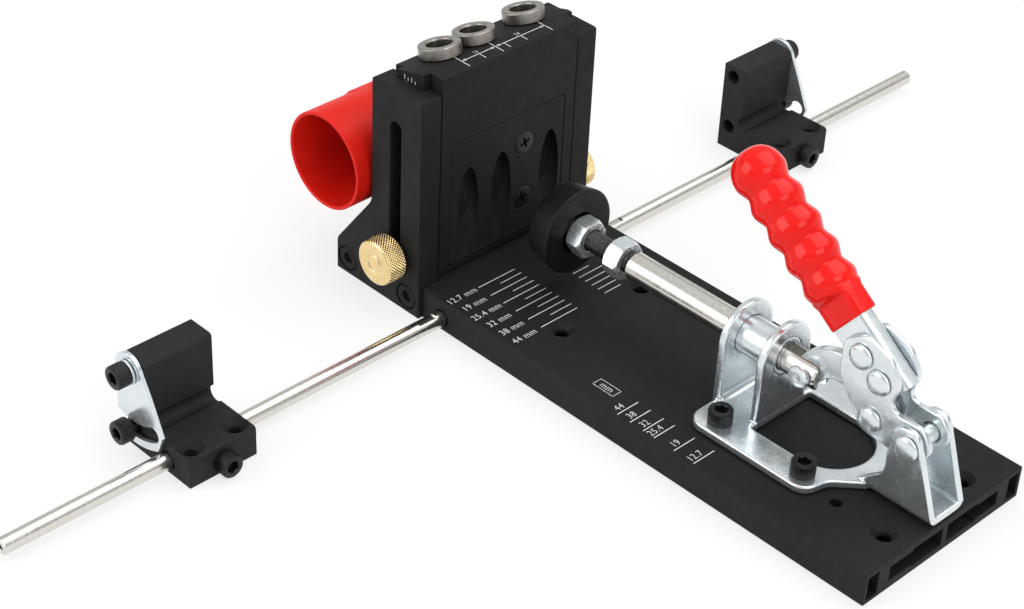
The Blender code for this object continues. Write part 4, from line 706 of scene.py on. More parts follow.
def dress_face():
    """Show the face plate with its three drill pockets."""
    outline = box_outline((FACE_LOW.y, FACE_LOW.z), (FACE_HIGH.y, FACE_HIGH.z), FACE_CORNER)
    face = slab("face_insert", [outline], FACE_HIGH.x - FACE_LOW.x,
                at((FACE_LOW.x + FACE_HIGH.x) / 2, 0, 0) @ END_VIEW)
    cutters = [drill(DRILL_BORE, FACE_BORE_DEPTH, drill_axis(y) @ at(0, 0, -SHANK_LENGTH), 0.0001)
               for y in BUSHING_PLACES]
    sink = [(0, OVERRUN), (FACE_SINK, OVERRUN), (FACE_SINK, 0),
            (FACE_SCREW_HOLE, FACE_SCREW_HOLE - FACE_SINK), (FACE_SCREW_HOLE, -FACE_SCREW_LENGTH),
            (0, -FACE_SCREW_LENGTH)]
    for index in (1, 2):
        high, middle = extent(f"face_screw_{index}")[1:]
        cutters.append(lathe("sink", sink, at(high.x, middle.y, middle.z) @ ALONG_X))
    cut(face, *cutters)
    show(face, BLACK, "face_plate")


def dress_face_screw(index):
    """Show one countersunk screw with a cross recess."""
    name = f"face_screw_{index}"
    low, high, middle = extent(name)
    radius = (high.z - low.z) / 2
    place = at(high.x, middle.y, middle.z) @ ALONG_X
    screw = lathe(name + "_head", [
        (0, 0), (radius - 0.0004, 0), (radius, -0.0002), (FACE_SCREW_SHANK, -0.0024),
        (FACE_SCREW_SHANK, -FACE_SCREW_LENGTH), (0, -FACE_SCREW_LENGTH)], place)
    reach, width = CROSS_HALF
    arm = box_outline((-reach, -width), (reach, width), 0.0003)
    cut(screw, *[slab("arm", [arm], 2 * CROSS_DEPTH,
                      place @ Matrix.Rotation(turn + CROSS_TURN, 4, "Z"), 0.0001)
                 for turn in (0.0, QUARTER)])
    show(screw, SCREW, name)


def dress_bushings():
    """Show the three collared steel bushings."""
    profile = rounded([
        (BUSHING_BORE, -SHANK_LENGTH, 0.0002), (BUSHING_BORE, COLLAR_TOP, 0.0007),
        (BUSHING_COLLAR, COLLAR_TOP, 0.0006), (BUSHING_COLLAR, GAP, 0.0003),
        (BUSHING_SHANK, GAP, 0), (BUSHING_SHANK, -SHANK_LENGTH, 0.0002)])
    for index, y in enumerate(BUSHING_PLACES, 1):
        bushing = lathe(f"bushing_{index}", profile, drill_axis(y), ROUND, closed=True)
        show(bushing, BUSHING_STEEL, f"drill_bushing_{index}")


PORT_RADIUS = 0.01875
PORT_WALL = 0.00135
PORT_X = -0.125
PORT_Z = 0.0465
PORT_TUBE_END = -0.0195
PORT_BOX = (-0.0255, 0.0265)
PORT_BOX_HALF = 0.0171
PORT_BOX_REAR = 0.0155
PORT_BOX_CORNER = 0.009
PORT_FLANGE_HALF = (0.0295, 0.023)
PORT_FLANGE_THICK = 0.0025


def port_box(name, grow, front, edge):
    """Return the boxy part of the elbow, grown outward by a thickness."""
    half = PORT_BOX_HALF + grow
    rear = PORT_X - PORT_BOX_REAR - grow
    corner = PORT_BOX_CORNER + grow
    loop = rounded([(rear, PORT_Z - half, corner), (front, PORT_Z - half, 0),
                    (front, PORT_Z + half, 0), (rear, PORT_Z + half, corner)], steps=10)
    return slab(name, [loop], PORT_BOX[1] - PORT_BOX[0] + 2 * grow,
                at(0, (PORT_BOX[0] + PORT_BOX[1]) / 2, 0) @ SIDE_VIEW, edge)


def dress_port():
    """Show the dust port: a round mouth on a boxy elbow with a flange."""
    low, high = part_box("dust_port")
    length = PORT_TUBE_END - low.y
    place = at(PORT_X, PORT_TUBE_END, PORT_Z) @ AGAINST_Y
    tube = lathe("dust_elbow", rounded([(0, length, 0), (PORT_RADIUS, length, 0.0005),
                                        (PORT_RADIUS, 0, 0), (0, 0, 0)], False), place, ROUND)
    flange_x = high.x - PORT_FLANGE_THICK / 2
    half_y, half_z = PORT_FLANGE_HALF
    outline = box_outline((-half_y, PORT_Z - half_z), (half_y, PORT_Z + half_z), 0.003)
    flange = slab("port_flange", [outline], PORT_FLANGE_THICK, at(flange_x, 0, 0) @ END_VIEW,
                  0.0004)
    combine(tube, "UNION", [port_box("port_box", 0, flange_x, 0.0012), flange])
    inner = PORT_RADIUS - PORT_WALL
    bore = lathe("port_bore", [(0, length + OVERRUN), (inner + 0.0004, length + OVERRUN),
                               (inner + 0.0004, length), (inner, length - 0.0004),
                               (inner, PORT_WALL), (0, PORT_WALL)], place, ROUND)
    cut(tube, bore, port_box("port_hollow", -PORT_WALL, high.x + OVERRUN, 0.0004))
    show(tube, RED_PLASTIC, "dust_port")


KNURL_PITCH = 0.00125
KNURL_DEPTH = 0.00042
KNURL_RINGS = 56
KNOB_WIDTH = 0.0085
KNOB_COLLAR = 0.0065
KNOB_STUD = 0.0024


def dress_knob(side):
    """Show one brass knob with a diamond knurl, a collar and a stud."""
    name = f"{SIDES[side]}_knob"
    low, high, middle = extent(name)
    radius = (high.z - low.z) / 2
    inner, outer = from_middle(low, high)
    start = outer - KNOB_WIDTH
    collar_end = start - 0.0009
    count = round(2 * math.pi * radius / KNURL_PITCH)

    def knurl(own, angle, height):
        if own < radius - KNURL_DEPTH / 4:
            return own
        turn = count * angle / (2 * math.pi)
        climb = (height - outer) / KNURL_PITCH
        first = abs((turn + climb) % 1 - 0.5) * 2
        second = abs((turn - climb) % 1 - 0.5) * 2
        return own - KNURL_DEPTH * max(first, second)

    profile = [(0, outer), (0.0030, outer), (0.0033, outer - 0.00025), (0.0036, outer),
               (radius - 0.0011, outer), (radius - 0.0005, outer - 0.0003)]
    for step in range(KNURL_RINGS + 1):
        profile.append((radius, outer - 0.0007 - (KNOB_WIDTH - 0.0014) * step / KNURL_RINGS))
    profile += [(radius - 0.0005, start + 0.0003), (radius - 0.0011, start), (KNOB_COLLAR, start),
                (KNOB_COLLAR, collar_end), (KNOB_STUD, collar_end), (KNOB_STUD, inner + 0.0003),
                (KNOB_STUD - 0.0003, inner), (0, inner)]
    knob = lathe(name + "_wheel", profile, at(middle.x, 0, middle.z) @ OUTWARD[side], count * 8,
                 wave=knurl)
    show(knob, BRASS, name, 50)


# Screws
M5_HEAD = 0.00425
M5_HEAD_LENGTH = 0.0048
M5_SHANK = 0.0024
M5_SOCKET = 0.0023
HEAD_TEETH = 40
TOOTH_DEPTH = 0.00006


def dress_socket_screw(name, direction, head=M5_HEAD, head_length=M5_HEAD_LENGTH,
                       socket=M5_SOCKET, depth=0.0025, finish=SCREW):
    """Show one socket head screw; its shank points against the direction."""
    low, high, place = extent(name)
    axis = max(range(3), key=lambda index: abs(direction[index]))
    top = high[axis] if direction[axis] > 0 else low[axis]
    length = high[axis] - low[axis] - head_length
    place[axis] = top - direction[axis] * head_length
    turn = Vector((0, 0, 1)).rotation_difference(Vector(direction)).to_matrix().to_4x4()
    matrix = Matrix.Translation(place) @ turn
    large = head > 0.003
    shank = M5_SHANK if large else M5_SHANK / 2
    profile = [(0, head_length), (socket + 0.0004, head_length), (head - 0.0006, head_length),
               (head - 0.0002, head_length - 0.0002), (head, head_length - 0.0006),
               (head, 0.0002), (head - 0.0002, 0), (shank, 0), (shank, -length + 0.0004),
               (shank - 0.0004, -length), (0, -length)]

    def grip_marks(own, angle, height):
        if own < head or height > head_length - 0.0005:
            return own
        return own - TOOTH_DEPTH * (1 + math.cos(HEAD_TEETH * angle))

    screw = lathe(name + "_steel", profile, matrix, 160 if large else SMALL_ROUND, wave=grip_marks)
    mouth_place = matrix @ at(0, 0, head_length)
    hexagon = slab("hexagon", [circle((0, 0), socket, 6)], depth * 2, mouth_place, 0.00005)
    mouth = lathe("mouth", [(0, 0.001), (socket + 0.0002, 0.001), (socket + 0.0002, 0),
                            (socket - 0.0003, -0.0005), (0, -0.0005)], mouth_place)
    cut(screw, hexagon, mouth)
    show(screw, finish, name)


def dress_screws():
    """Show every socket screw."""
    for side, label in SIDES.items():
        outward = (0, side, 0)
        for end in ("front", "rear"):
            dress_socket_screw(f"{label}_post_screw_{end}", outward, FOOT_SCREW_SINK, 0.0029,
                               M5_SOCKET, 0.0015, BLACK)
        dress_socket_screw(f"{label}_limit_screw", outward)
        dress_socket_screw(f"{label}_pivot_screw", outward)
        dress_socket_screw(f"{label}_rod_screw", (1, 0, 0))
        dress_socket_screw(f"{label}_port_screw", (-1, 0, 0), 0.0022, 0.0016, 0.0011, 0.0009)
    for index in range(1, 5):
        dress_socket_screw(f"clamp_screw_{index}", (0, 0, 1))


# Side stops
STOP_TOE = 0.022
STOP_DEPTH = 0.0112
STOP_FOOT = 0.0118
STOP_CHAMFER = 0.0009
STOP_EDGE = 0.0004
STOP_COVE = 0.003
STOP_SINK = 0.0047
STOP_SINK_DEPTH = 0.0026
PIVOT_SETBACK = 0.0065
PIVOT_RISE = 0.0325
LIMIT_DROP = 0.0225
FLIP_REACH = 0.0284
FLIP_HEAD = 0.007


def stop_outline(top):
    """Return a stop block's side outline, with its coved groove between foot and wall."""
    cove = arc((0.0012, STOP_FOOT + 0.0019), STOP_COVE, math.radians(-39.3),
               math.radians(-246.4), 20)
    return [(-STOP_DEPTH, 0), (STOP_TOE - STOP_EDGE, 0), (STOP_TOE, STOP_EDGE),
            (STOP_TOE, STOP_FOOT - STOP_CHAMFER), (STOP_TOE - STOP_CHAMFER, STOP_FOOT),
            (0.0012 + 0.00232, STOP_FOOT), *cove[1:], (0, top - STOP_CHAMFER), (-STOP_CHAMFER, top),
            (-STOP_DEPTH + STOP_EDGE, top), (-STOP_DEPTH, top - STOP_EDGE)]


def dress_stop(side):
    """Show one L-shaped stop block with its relief groove and holes."""
    name = f"{SIDES[side]}_stop_block"
    low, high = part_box(name)
    width = high.y - low.y
    centre = (low.y + high.y) / 2
    block = side_slab(name + "_body", [stop_outline(high.z)], low, high)
    rod = extent(f"{SIDES[side]}_rod")[2]
    deep = width / 2 + OVERRUN
    cutters = []
    for end in SIDES:
        face = centre + end * width / 2
        cutters.append(drill(ROD_RADIUS + GAP, deep, at(rod.x, face, rod.z) @ OUTWARD[end], 0.0004))
        for z in (PIVOT_RISE, PIVOT_RISE - LIMIT_DROP):
            cutters.append(drill(M5_SHANK + GAP, deep,
                                 at(FENCE - PIVOT_SETBACK, face, z) @ OUTWARD[end]))
        cutters.append(drill(0.0022, STOP_FOOT + OVERRUN,
                             at(FENCE + STOP_TOE - 0.0055, centre + end * 0.009, STOP_FOOT),
                             sink=STOP_SINK, sink_depth=STOP_SINK_DEPTH))
    cutters.append(drill(M5_SHANK + GAP, STOP_TOE - 0.010,
                         at(FENCE + STOP_TOE, centre, rod.z) @ ALONG_X))
    cut_each(block, cutters)
    # The stop wears the anodised finish painted lighter, standing in for the light its top catches.
    show(block, STOP_BLACK_PAINTED_LIGHTER, name)


def flip_outline():
    """Return the flip plate's outline about its pivot: +x is ahead, +y is up."""
    slot_half = M5_SHANK + 0.0004
    slot_in = LIMIT_DROP - slot_half
    slot_out = LIMIT_DROP + slot_half
    slot_end, edge, heel, mouth, tip = (math.radians(angle - 90) for angle in (32, 42, 30, -5, -21))
    lip = (FLIP_REACH - slot_out) / 2
    points = arc((0, 0), FLIP_HEAD, math.radians(15), math.radians(195), 24)
    points += arc((0, 0), slot_in, tip, slot_end, 20)
    points += arc(polar(LIMIT_DROP, slot_end), slot_half, slot_end + math.pi, slot_end, 14)[1:-1]
    points += arc((0, 0), slot_out, slot_end, mouth, 16)
    points += arc(polar(slot_out + lip, mouth), lip, mouth + math.pi, mouth + 2 * math.pi, 10)[1:-1]
    points += arc((0, 0), FLIP_REACH, mouth, heel, 16)
    return points + [polar(0.0247, edge), (0.0107, -0.0056)]


def dress_flip(side):
    """Show one flip plate and its washer."""
    hole = circle((0, 0), M5_SHANK + GAP)
    for kind, outline, edge in (("flip_plate", flip_outline(), 0.0002),
                                ("pivot_washer", circle((0, 0), 0.0046), 0.00015)):
        name = f"{SIDES[side]}_{kind}"
        low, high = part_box(name)
        sheet = side_slab(name + "_steel", [outline, hole], low, high, edge,
                          FENCE - PIVOT_SETBACK, PIVOT_RISE)
        show(sheet, ZINC, name)


# Toggle clamp
PIVOT_X = extent("pivot_rivet")[2].x
CRANK = 0.0168
LINK_SPAN = 0.0295
LINK_X = PIVOT_X - CRANK
PIN_X = LINK_X - LINK_SPAN
FLANGE_THICK = 0.003
FLANGE_HALF = 0.027
FLANGE_CORNER = 0.006
FLANGE_BOTTOM = BASE_TOP + GAP
EAR_THICK = 0.003
EAR_RADIUS = 0.0123
EAR_FOLD = 0.0028
EAR_BORE = 0.0073
CHEEK_INNER = 0.0061
CHEEK_THICK = 0.0025
CHEEK_REAR = 0.0134
CHEEK_TOP = 0.0066
CHEEK_FRONT = 0.0160
STAMP_EDGE = 0.0006
OPENING_HALF = 0.015
RIVET_HOLE = 0.0035
VOXEL = 0.00032


def clamp_flange():
    """Return the clamp's flange, open in the middle, with its tail under the cheeks."""
    front = SLEEVE_LOW.x + 0.0015
    rear = PIVOT_X - 0.0232
    waist = CHEEK_INNER + CHEEK_THICK - 0.0004
    half = [(front, FLANGE_HALF, FLANGE_CORNER), (rear, FLANGE_HALF, FLANGE_CORNER),
            (rear + 0.002, 0.017, FLANGE_CORNER), (PIVOT_X - 0.0120, waist, 0)]
    outline = rounded([(x, -y, radius) for x, y, radius in half] + half[::-1])
    opening = [(SLEEVE_HIGH.x + GAP, OPENING_HALF), (SLEEVE_HIGH.x + GAP, -OPENING_HALF)]
    opening += arc((PIVOT_X - 0.0196 - OPENING_HALF, 0), OPENING_HALF, -QUARTER, QUARTER, 20)
    return slab("clamp_stamping", [outline, opening], FLANGE_THICK,
                at(0, 0, FLANGE_BOTTOM + FLANGE_THICK / 2), STAMP_EDGE)


def clamp_ear(start, ahead):
    """Return one ear round the sleeve and the fold at its foot, which lies on its ahead side."""
    lift = FLANGE_BOTTOM + 0.001 - AXIS_Z
    shape = [(EAR_RADIUS, lift), *arc((0, 0), EAR_RADIUS, 0, math.pi, 32), (-EAR_RADIUS, lift)]
    ear = slab("ear", [shape], EAR_THICK, at(start + EAR_THICK / 2, 0, AXIS_Z) @ END_VIEW,
               STAMP_EDGE)
    bend = arc((EAR_FOLD, EAR_FOLD), EAR_FOLD, -QUARTER, -math.pi)[1:]
    bend = [(0, 0), (EAR_FOLD, 0), *bend, (0, EAR_FOLD)]
    face_x = start + EAR_THICK if ahead > 0 else start
    fold = slab("fold", [[(ahead * x, y) for x, y in bend]], 2 * EAR_RADIUS - 0.002,
                at(face_x, 0, FLANGE_BOTTOM + FLANGE_THICK - 0.0002) @ SIDE_VIEW, 0.0001)
    return [ear, fold]


def cheek_bracket():
    """Return the U-shaped rear bracket as a bent section cut to its side outline."""
    cheek = CHEEK_INNER + CHEEK_THICK
    low = FLANGE_BOTTOM - AXIS_Z
    floor = low + 0.0028
    top = CHEEK_TOP + OVERRUN
    section = rounded([(-cheek, low, 0.0035), (cheek, low, 0.0035), (cheek, top, 0),
                       (CHEEK_INNER, top, 0), (CHEEK_INNER, floor, 0.001),
                       (-CHEEK_INNER, floor, 0.001), (-CHEEK_INNER, top, 0), (-cheek, top, 0)])
    bracket = slab("cheeks", [section], CHEEK_REAR + CHEEK_FRONT,
                   at(PIVOT_X + (CHEEK_REAR - CHEEK_FRONT) / 2, 0, AXIS_Z) @ END_VIEW, 0.0001)
    front = -CHEEK_FRONT - OVERRUN
    outline = rounded([(front, low - OVERRUN, 0), (CHEEK_REAR, low - OVERRUN, 0),
                       (CHEEK_REAR, low + FLANGE_THICK, 0), (CHEEK_TOP / 2, CHEEK_TOP, 0.0046),
                       (-CHEEK_TOP, CHEEK_TOP, 0.0053), (-0.0072, low + 0.0105, 0.0066),
                       (front, low + FLANGE_THICK / 2, 0)])
    side = slab("cheek_side", [outline], 0.03, at(PIVOT_X, 0, AXIS_Z) @ SIDE_VIEW, 0.0001)
    return combine(bracket, "INTERSECT", [side])


def dress_clamp_base():
    """Show the stamped clamp base, its edges and bends rounded as pressing leaves them."""
    stamping = merge("clamp_stamping", clamp_flange(), *clamp_ear(SLEEVE_LOW.x, 1),
                     *clamp_ear(SLEEVE_HIGH.x - EAR_THICK, -1), cheek_bracket())
    remesh = stamping.modifiers.new("voxels", "REMESH")
    remesh.mode = "VOXEL"
    remesh.voxel_size = VOXEL
    smooth = stamping.modifiers.new("rounding", "SMOOTH")
    smooth.factor = 0.6
    smooth.iterations = 6
    stamping.data = settled(stamping)
    stamping.modifiers.clear()
    holes = [plug("ear_bore", EAR_BORE, 0, 0.024,
                  at(SLEEVE_LOW.x - OVERRUN, 0, AXIS_Z) @ ALONG_X, ROUND)]
    for index in range(1, 5):
        middle = extent(f"clamp_screw_{index}")[2]
        holes.append(drill(M5_SHANK + GAP, FLANGE_THICK + OVERRUN,
                           at(middle.x, middle.y, FLANGE_BOTTOM + FLANGE_THICK)))
    holes.append(plug("pivot", RIVET_HOLE, -0.012, 0.012, at(PIVOT_X, 0, AXIS_Z) @ ALONG_Y))
    cut(stamping, *holes)
    show(stamping, SAND_ZINC, "clamp_base", 50)
    stamping.modifiers.clear()


SLEEVE_BORE = 0.0054
PLUNGER_BORE = 0.0042
PLUNGER_BORE_DEPTH = 0.035
PLUNGER_SLOT = (0.0155, 0.00225, 0.008)
PIN_BORE = 0.0027
PIN_HEAD = 0.0040
PIN_SHANK = 0.0024
RIVET_HEAD = 0.0045
RIVET_SHANK = 0.0032
RIVET_HEAD_LENGTH = 0.0016


def dress_plunger():
    """Show the sleeve and the plunger with its bore, slot and pin hole."""
    length = SLEEVE_HIGH.x - SLEEVE_LOW.x
    radius = (SLEEVE_HIGH.z - SLEEVE_LOW.z) / 2
    sleeve = lathe("sleeve_tube", rounded([
        (SLEEVE_BORE, 0, 0.0002), (radius, 0, 0.0004), (radius, length, 0.0004),
        (SLEEVE_BORE, length, 0.0002)]), at(SLEEVE_LOW.x, 0, AXIS_Z) @ ALONG_X, ROUND, closed=True)
    show(sleeve, ZINC, "plunger_sleeve")
    length = PLUNGER_HIGH.x - PLUNGER_LOW.x
    radius = (PLUNGER_HIGH.z - PLUNGER_LOW.z) / 2
    plunger = lathe("plunger_bar", [
        (0, PLUNGER_BORE_DEPTH), (PLUNGER_BORE, PLUNGER_BORE_DEPTH), (PLUNGER_BORE, 0.0004),
        (PLUNGER_BORE + 0.0004, 0), (radius - 0.0004, 0), (radius, 0.0004),
        (radius, length - 0.0007), (radius - 0.0007, length), (0, length)],
        at(PLUNGER_LOW.x, 0, AXIS_Z) @ ALONG_X, ROUND)
    slot_length, half_width, half_height = PLUNGER_SLOT
    cut(plunger, brick("slot", (PLUNGER_HIGH.x - slot_length, -half_width, AXIS_Z - half_height),
                       (PLUNGER_HIGH.x + OVERRUN, half_width, AXIS_Z + half_height)))
    cut(plunger, plug("pin_bore", PIN_BORE, -half_height, half_height,
                      at(PIN_X, 0, AXIS_Z) @ ALONG_Y))
    show(plunger, PLUNGER_STEEL, "plunger")


def dress_pins():
    """Show the two stub pins with dished heads on the plunger."""
    for side, label in FAR.items():
        name = f"plunger_pin_{label}"
        inner, outer = from_middle(*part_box(name))
        seat = outer - RIVET_HEAD_LENGTH
        pin = lathe(name + "_head", [
            (0, outer - 0.0002), (0.0011, outer - 0.0001), (0.0015, outer), (0.0031, outer),
            (0.0037, outer - 0.0003), (PIN_HEAD, outer - 0.0008), (PIN_HEAD, seat),
            (PIN_SHANK, seat), (PIN_SHANK, inner), (0, inner)],
            at(PIN_X, 0, AXIS_Z) @ OUTWARD[side])
        show(pin, ZINC, name)


def dress_rivets():
    """Show the four rivets of the linkage, domed at both ends."""
    for name in ("pivot_rivet", "handle_rivet_upper", "handle_rivet_lower", "link_rivet"):
        low, high, middle = extent(name)
        reach = (high.y - low.y) / 2
        seat = reach - RIVET_HEAD_LENGTH
        half = [(0, reach - 0.0001), (0.0012, reach), (0.0028, reach - 0.0001),
                (0.0038, reach - 0.0004), (0.0043, reach - 0.0009), (RIVET_HEAD, reach - 0.0013),
                (RIVET_HEAD, seat), (RIVET_SHANK, seat)]
        profile = half + [(radius, -height) for radius, height in reversed(half)]
        rivet = lathe(name + "_steel", profile, at(middle.x, 0, middle.z) @ ALONG_Y)
        show(rivet, ZINC, name)


THREAD_PITCH = 0.00125
THREAD_DEPTH = 0.00065
THREAD_RADIUS = 0.0039
THREAD_RINGS = 10
SPINDLE_HEAD = 0.005
NUT_FACE = 0.87
NUT_CHAMFER = 0.0011
CAP_SEAT = 0.0078
CAP_FLOOR = 0.0026
CAP_TAPER = 0.002


def dress_spindle():
    """Show the threaded spindle."""
    low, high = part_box("spindle_bolt")
    head_end = low.x + SPINDLE_HEAD
    length = high.x - head_end
    rings = int(length / THREAD_PITCH * THREAD_RINGS)

    def thread(own, angle, height):
        if own < THREAD_RADIUS:
            return own
        turn = (height / THREAD_PITCH - angle / (2 * math.pi)) % 1
        return own - THREAD_DEPTH * min(1, abs(turn - 0.5) * 2.4)

    profile = [(0, length), (THREAD_RADIUS - 0.0008, length),
               (THREAD_RADIUS - 0.0001, length - 0.0006)]
    for step in range(rings + 1):
        profile.append((THREAD_RADIUS, (length - 0.0008) * (1 - step / rings)))
    profile += [(THREAD_RADIUS - 0.0005, -0.001), (0, -0.001)]
    spindle = lathe("spindle_thread", profile, at(head_end, 0, AXIS_Z) @ ALONG_X, wave=thread)
    show(spindle, THREAD_STEEL, "spindle_bolt", 120)


def dress_nuts():
    """Show the two hexagon nuts with rounded-off corners."""
    for name in ("cap_nut", "lock_nut"):
        low, high, middle = extent(name)
        half = (high.x - low.x) / 2
        corner = (high.y - low.y) / 2
        hexagon = circle((0, 0), corner, 6)
        flats = slab(name + "_hex", [hexagon, circle((0, 0), THREAD_RADIUS + GAP)],
                     high.x - low.x, at(middle.x, 0, AXIS_Z) @ END_VIEW, 0.0001)
        face = corner * NUT_FACE
        rim = corner + 0.0002
        barrel = lathe("barrel", [(0, half), (face, half), (rim, half - NUT_CHAMFER),
                                  (rim, -half + NUT_CHAMFER), (face, -half), (0, -half)],
                       at(middle.x, 0, AXIS_Z) @ ALONG_X, ROUND)
        combine(flats, "INTERSECT", [barrel])
        show(flats, ZINC, name)


def dress_rubber_cap():
    """Show the rubber cap, hollow behind for its nut."""
    low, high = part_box("rubber_cap")
    length = high.x - low.x
    back = (high.z - low.z) / 2
    profile = [(0, CAP_FLOOR), (CAP_SEAT, CAP_FLOOR), (CAP_SEAT, length - 0.0004)]
    profile += rounded([(CAP_SEAT, length, 0), (back, length, 0.0011),
                        (back - CAP_TAPER, 0, 0.0014), (0, 0, 0)], False)
    cap = lathe("rubber_cap_moulding", profile, at(low.x, 0, AXIS_Z) @ ALONG_X, ROUND)
    show(cap, RUBBER, "rubber_cap")


# Corners of a yoke plate about the pivot, as (x, z, radius) in cranks
YOKE_SHAPE = ((-1.86, 1.41, 0.26), (-1.40, 1.74, 0.30), (-0.72, 1.49, 0.36), (-0.44, 1.04, 0.40),
              (-0.66, 0.42, 0.20), (0.16, 0.43, 0.30), (0.49, 0.02, 0.28), (0.02, -0.46, 0.34),
              (-1.20, -0.34, 0.30), (-1.86, 0.62, 0.60))
LINK_BOW = 0.009
LINK_EYE = 0.0052


def dress_yoke():
    """Show the two yoke plates."""
    loops = [rounded([(CRANK * x, CRANK * y, CRANK * r) for x, y, r in YOKE_SHAPE]),
             circle((0, 0), RIVET_HOLE), circle((-CRANK, 0), RIVET_HOLE)]
    for name in ("handle_rivet_upper", "handle_rivet_lower"):
        middle = extent(name)[2]
        loops.append(circle((middle.x - PIVOT_X, middle.z - AXIS_Z), RIVET_HOLE))
    for label in FAR.values():
        name = f"yoke_plate_{label}"
        low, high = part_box(name)
        show(side_slab(name + "_steel", loops, low, high, 0.0005, PIVOT_X, AXIS_Z), ZINC, name)


def dress_link():
    """Show the bowed link between the yoke and the plunger."""
    low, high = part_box("link")
    radius = (LINK_SPAN * LINK_SPAN / 4 + LINK_BOW * LINK_BOW) / (2 * LINK_BOW)
    centre = (-LINK_SPAN / 2, LINK_BOW - radius)
    start = math.atan2(-centre[1], -LINK_SPAN / 2)
    end = math.pi - start
    outline = arc(centre, radius + LINK_EYE, start, end, 32)
    outline += arc((0, 0), LINK_EYE, end, end - math.pi, 20)[1:-1]
    outline += arc(centre, radius - LINK_EYE, end, start, 24)
    outline += arc((-LINK_SPAN, 0), LINK_EYE, start + math.pi, start, 20)[1:-1]
    link = side_slab("link_steel", [outline, circle((0, 0), RIVET_HOLE)], low, high, 0.0005,
                     LINK_X, AXIS_Z)
    show(link, ZINC, "link")


# Handle
HANDLE_ANGLE = math.radians(143)
BAR_HALF_THICK = 0.0035
BAR_WALL = 0.0012
BAR_DEPTH = 0.0146
BAR_START = 0.0065
BAR_END = 0.046
GRIP_START = 0.021
GRIP_SLEEVE = 0.0080
GRIP_SKIN = 0.0011
GRIP_SIDES = 96
SLEEVE_BOXINESS = 4.0
ROUND_BOXINESS = 2.0
SLEEVE_RINGS = 12
BLEND_RINGS = 10
BULGE_RINGS = 22
TIP_RINGS = 16
FIRST_BULGE = 0.0348
BULGE_PITCH = 0.01015
BULGES = 5
BULGE_RADIUS = 0.0092
NECK_RADIUS = 0.0076
BULGE_CREASE = 0.45
PARTING_RIDGE = 0.035
PARTING_SPREAD = 0.09


def handle_frame():
    """Return the handle's matrix: own +Z runs up the bar, own +X away from the yoke."""
    middle = extent("handle_rivet_lower")[2]
    along = Vector((math.cos(HANDLE_ANGLE), 0, math.sin(HANDLE_ANGLE)))
    across = Vector((0, 1, 0))
    turn = Matrix((across.cross(along), across, along)).transposed().to_4x4()
    return at(middle.x, 0, middle.z) @ turn


def dress_handle_bar():
    """Show the channel-shaped bar."""
    half = BAR_DEPTH / 2
    inner = BAR_HALF_THICK - BAR_WALL
    section = rounded([(-half, -BAR_HALF_THICK, 0.0004), (half, -BAR_HALF_THICK, 0.0024),
                       (half, BAR_HALF_THICK, 0.0024), (-half, BAR_HALF_THICK, 0.0004),
                       (-half, inner, 0.0003), (half - BAR_WALL, inner, 0.0004),
                       (half - BAR_WALL, -inner, 0.0004), (-half, -inner, 0.0003)])
    bar = slab("handle_channel", [section], BAR_END + BAR_START,
               handle_frame() @ at(0, 0, (BAR_END - BAR_START) / 2))
    show(bar, ZINC, "handle_bar")


def bulge_radius(place):
    """Return the grip's radius at a place: bulges round on top with a soft crease between."""
    phase = (place - FIRST_BULGE) / BULGE_PITCH
    wave = 0.5 * (1 + math.cos(2 * math.pi * phase))
    arch = abs(math.cos(math.pi * phase))
    share = wave * (1 - BULGE_CREASE) + arch * BULGE_CREASE
    return NECK_RADIUS + (BULGE_RADIUS - NECK_RADIUS) * share


def grip_sections():
    """Return the grip's sections: place along the bar, half depth, half thickness, boxiness."""
    depth = BAR_DEPTH / 2 + GAP + GRIP_SKIN
    thick = BAR_HALF_THICK + GAP + GRIP_SKIN
    start = FIRST_BULGE - BULGE_PITCH / 4
    last = FIRST_BULGE + BULGE_PITCH * (BULGES - 1)
    waist = bulge_radius(start)
    sections = [(GRIP_START + ahead, depth - less, thick - less, SLEEVE_BOXINESS)
                for ahead, less in ((0.0006, GRIP_SKIN), (0, 0.0009), (0, 0.0003), (0.0004, 0))]
    for step in range(1, SLEEVE_RINGS + 1):
        sections.append((GRIP_START + GRIP_SLEEVE * step / SLEEVE_RINGS, depth, thick,
                         SLEEVE_BOXINESS))
    sleeve_end = GRIP_START + GRIP_SLEEVE
    for step in range(1, BLEND_RINGS):
        share = step / BLEND_RINGS
        ease = share * share * (3 - 2 * share)
        sections.append((sleeve_end + (start - sleeve_end) * share,
                         depth + (waist - depth) * ease, thick + (waist - thick) * ease,
                         SLEEVE_BOXINESS + (ROUND_BOXINESS - SLEEVE_BOXINESS) * ease))
    rings = BULGE_RINGS * BULGES
    for step in range(rings + 1):
        place = start + (last - start) * step / rings
        radius = bulge_radius(place)
        sections.append((place, radius, radius, ROUND_BOXINESS))
    for step in range(1, TIP_RINGS + 1):
        angle = QUARTER * step / TIP_RINGS
        radius = BULGE_RADIUS * math.cos(angle) ** 0.8 if step < TIP_RINGS else GAP / 3
        sections.append((last + BULGE_RADIUS * math.sin(angle), radius, radius, ROUND_BOXINESS))
    return sections


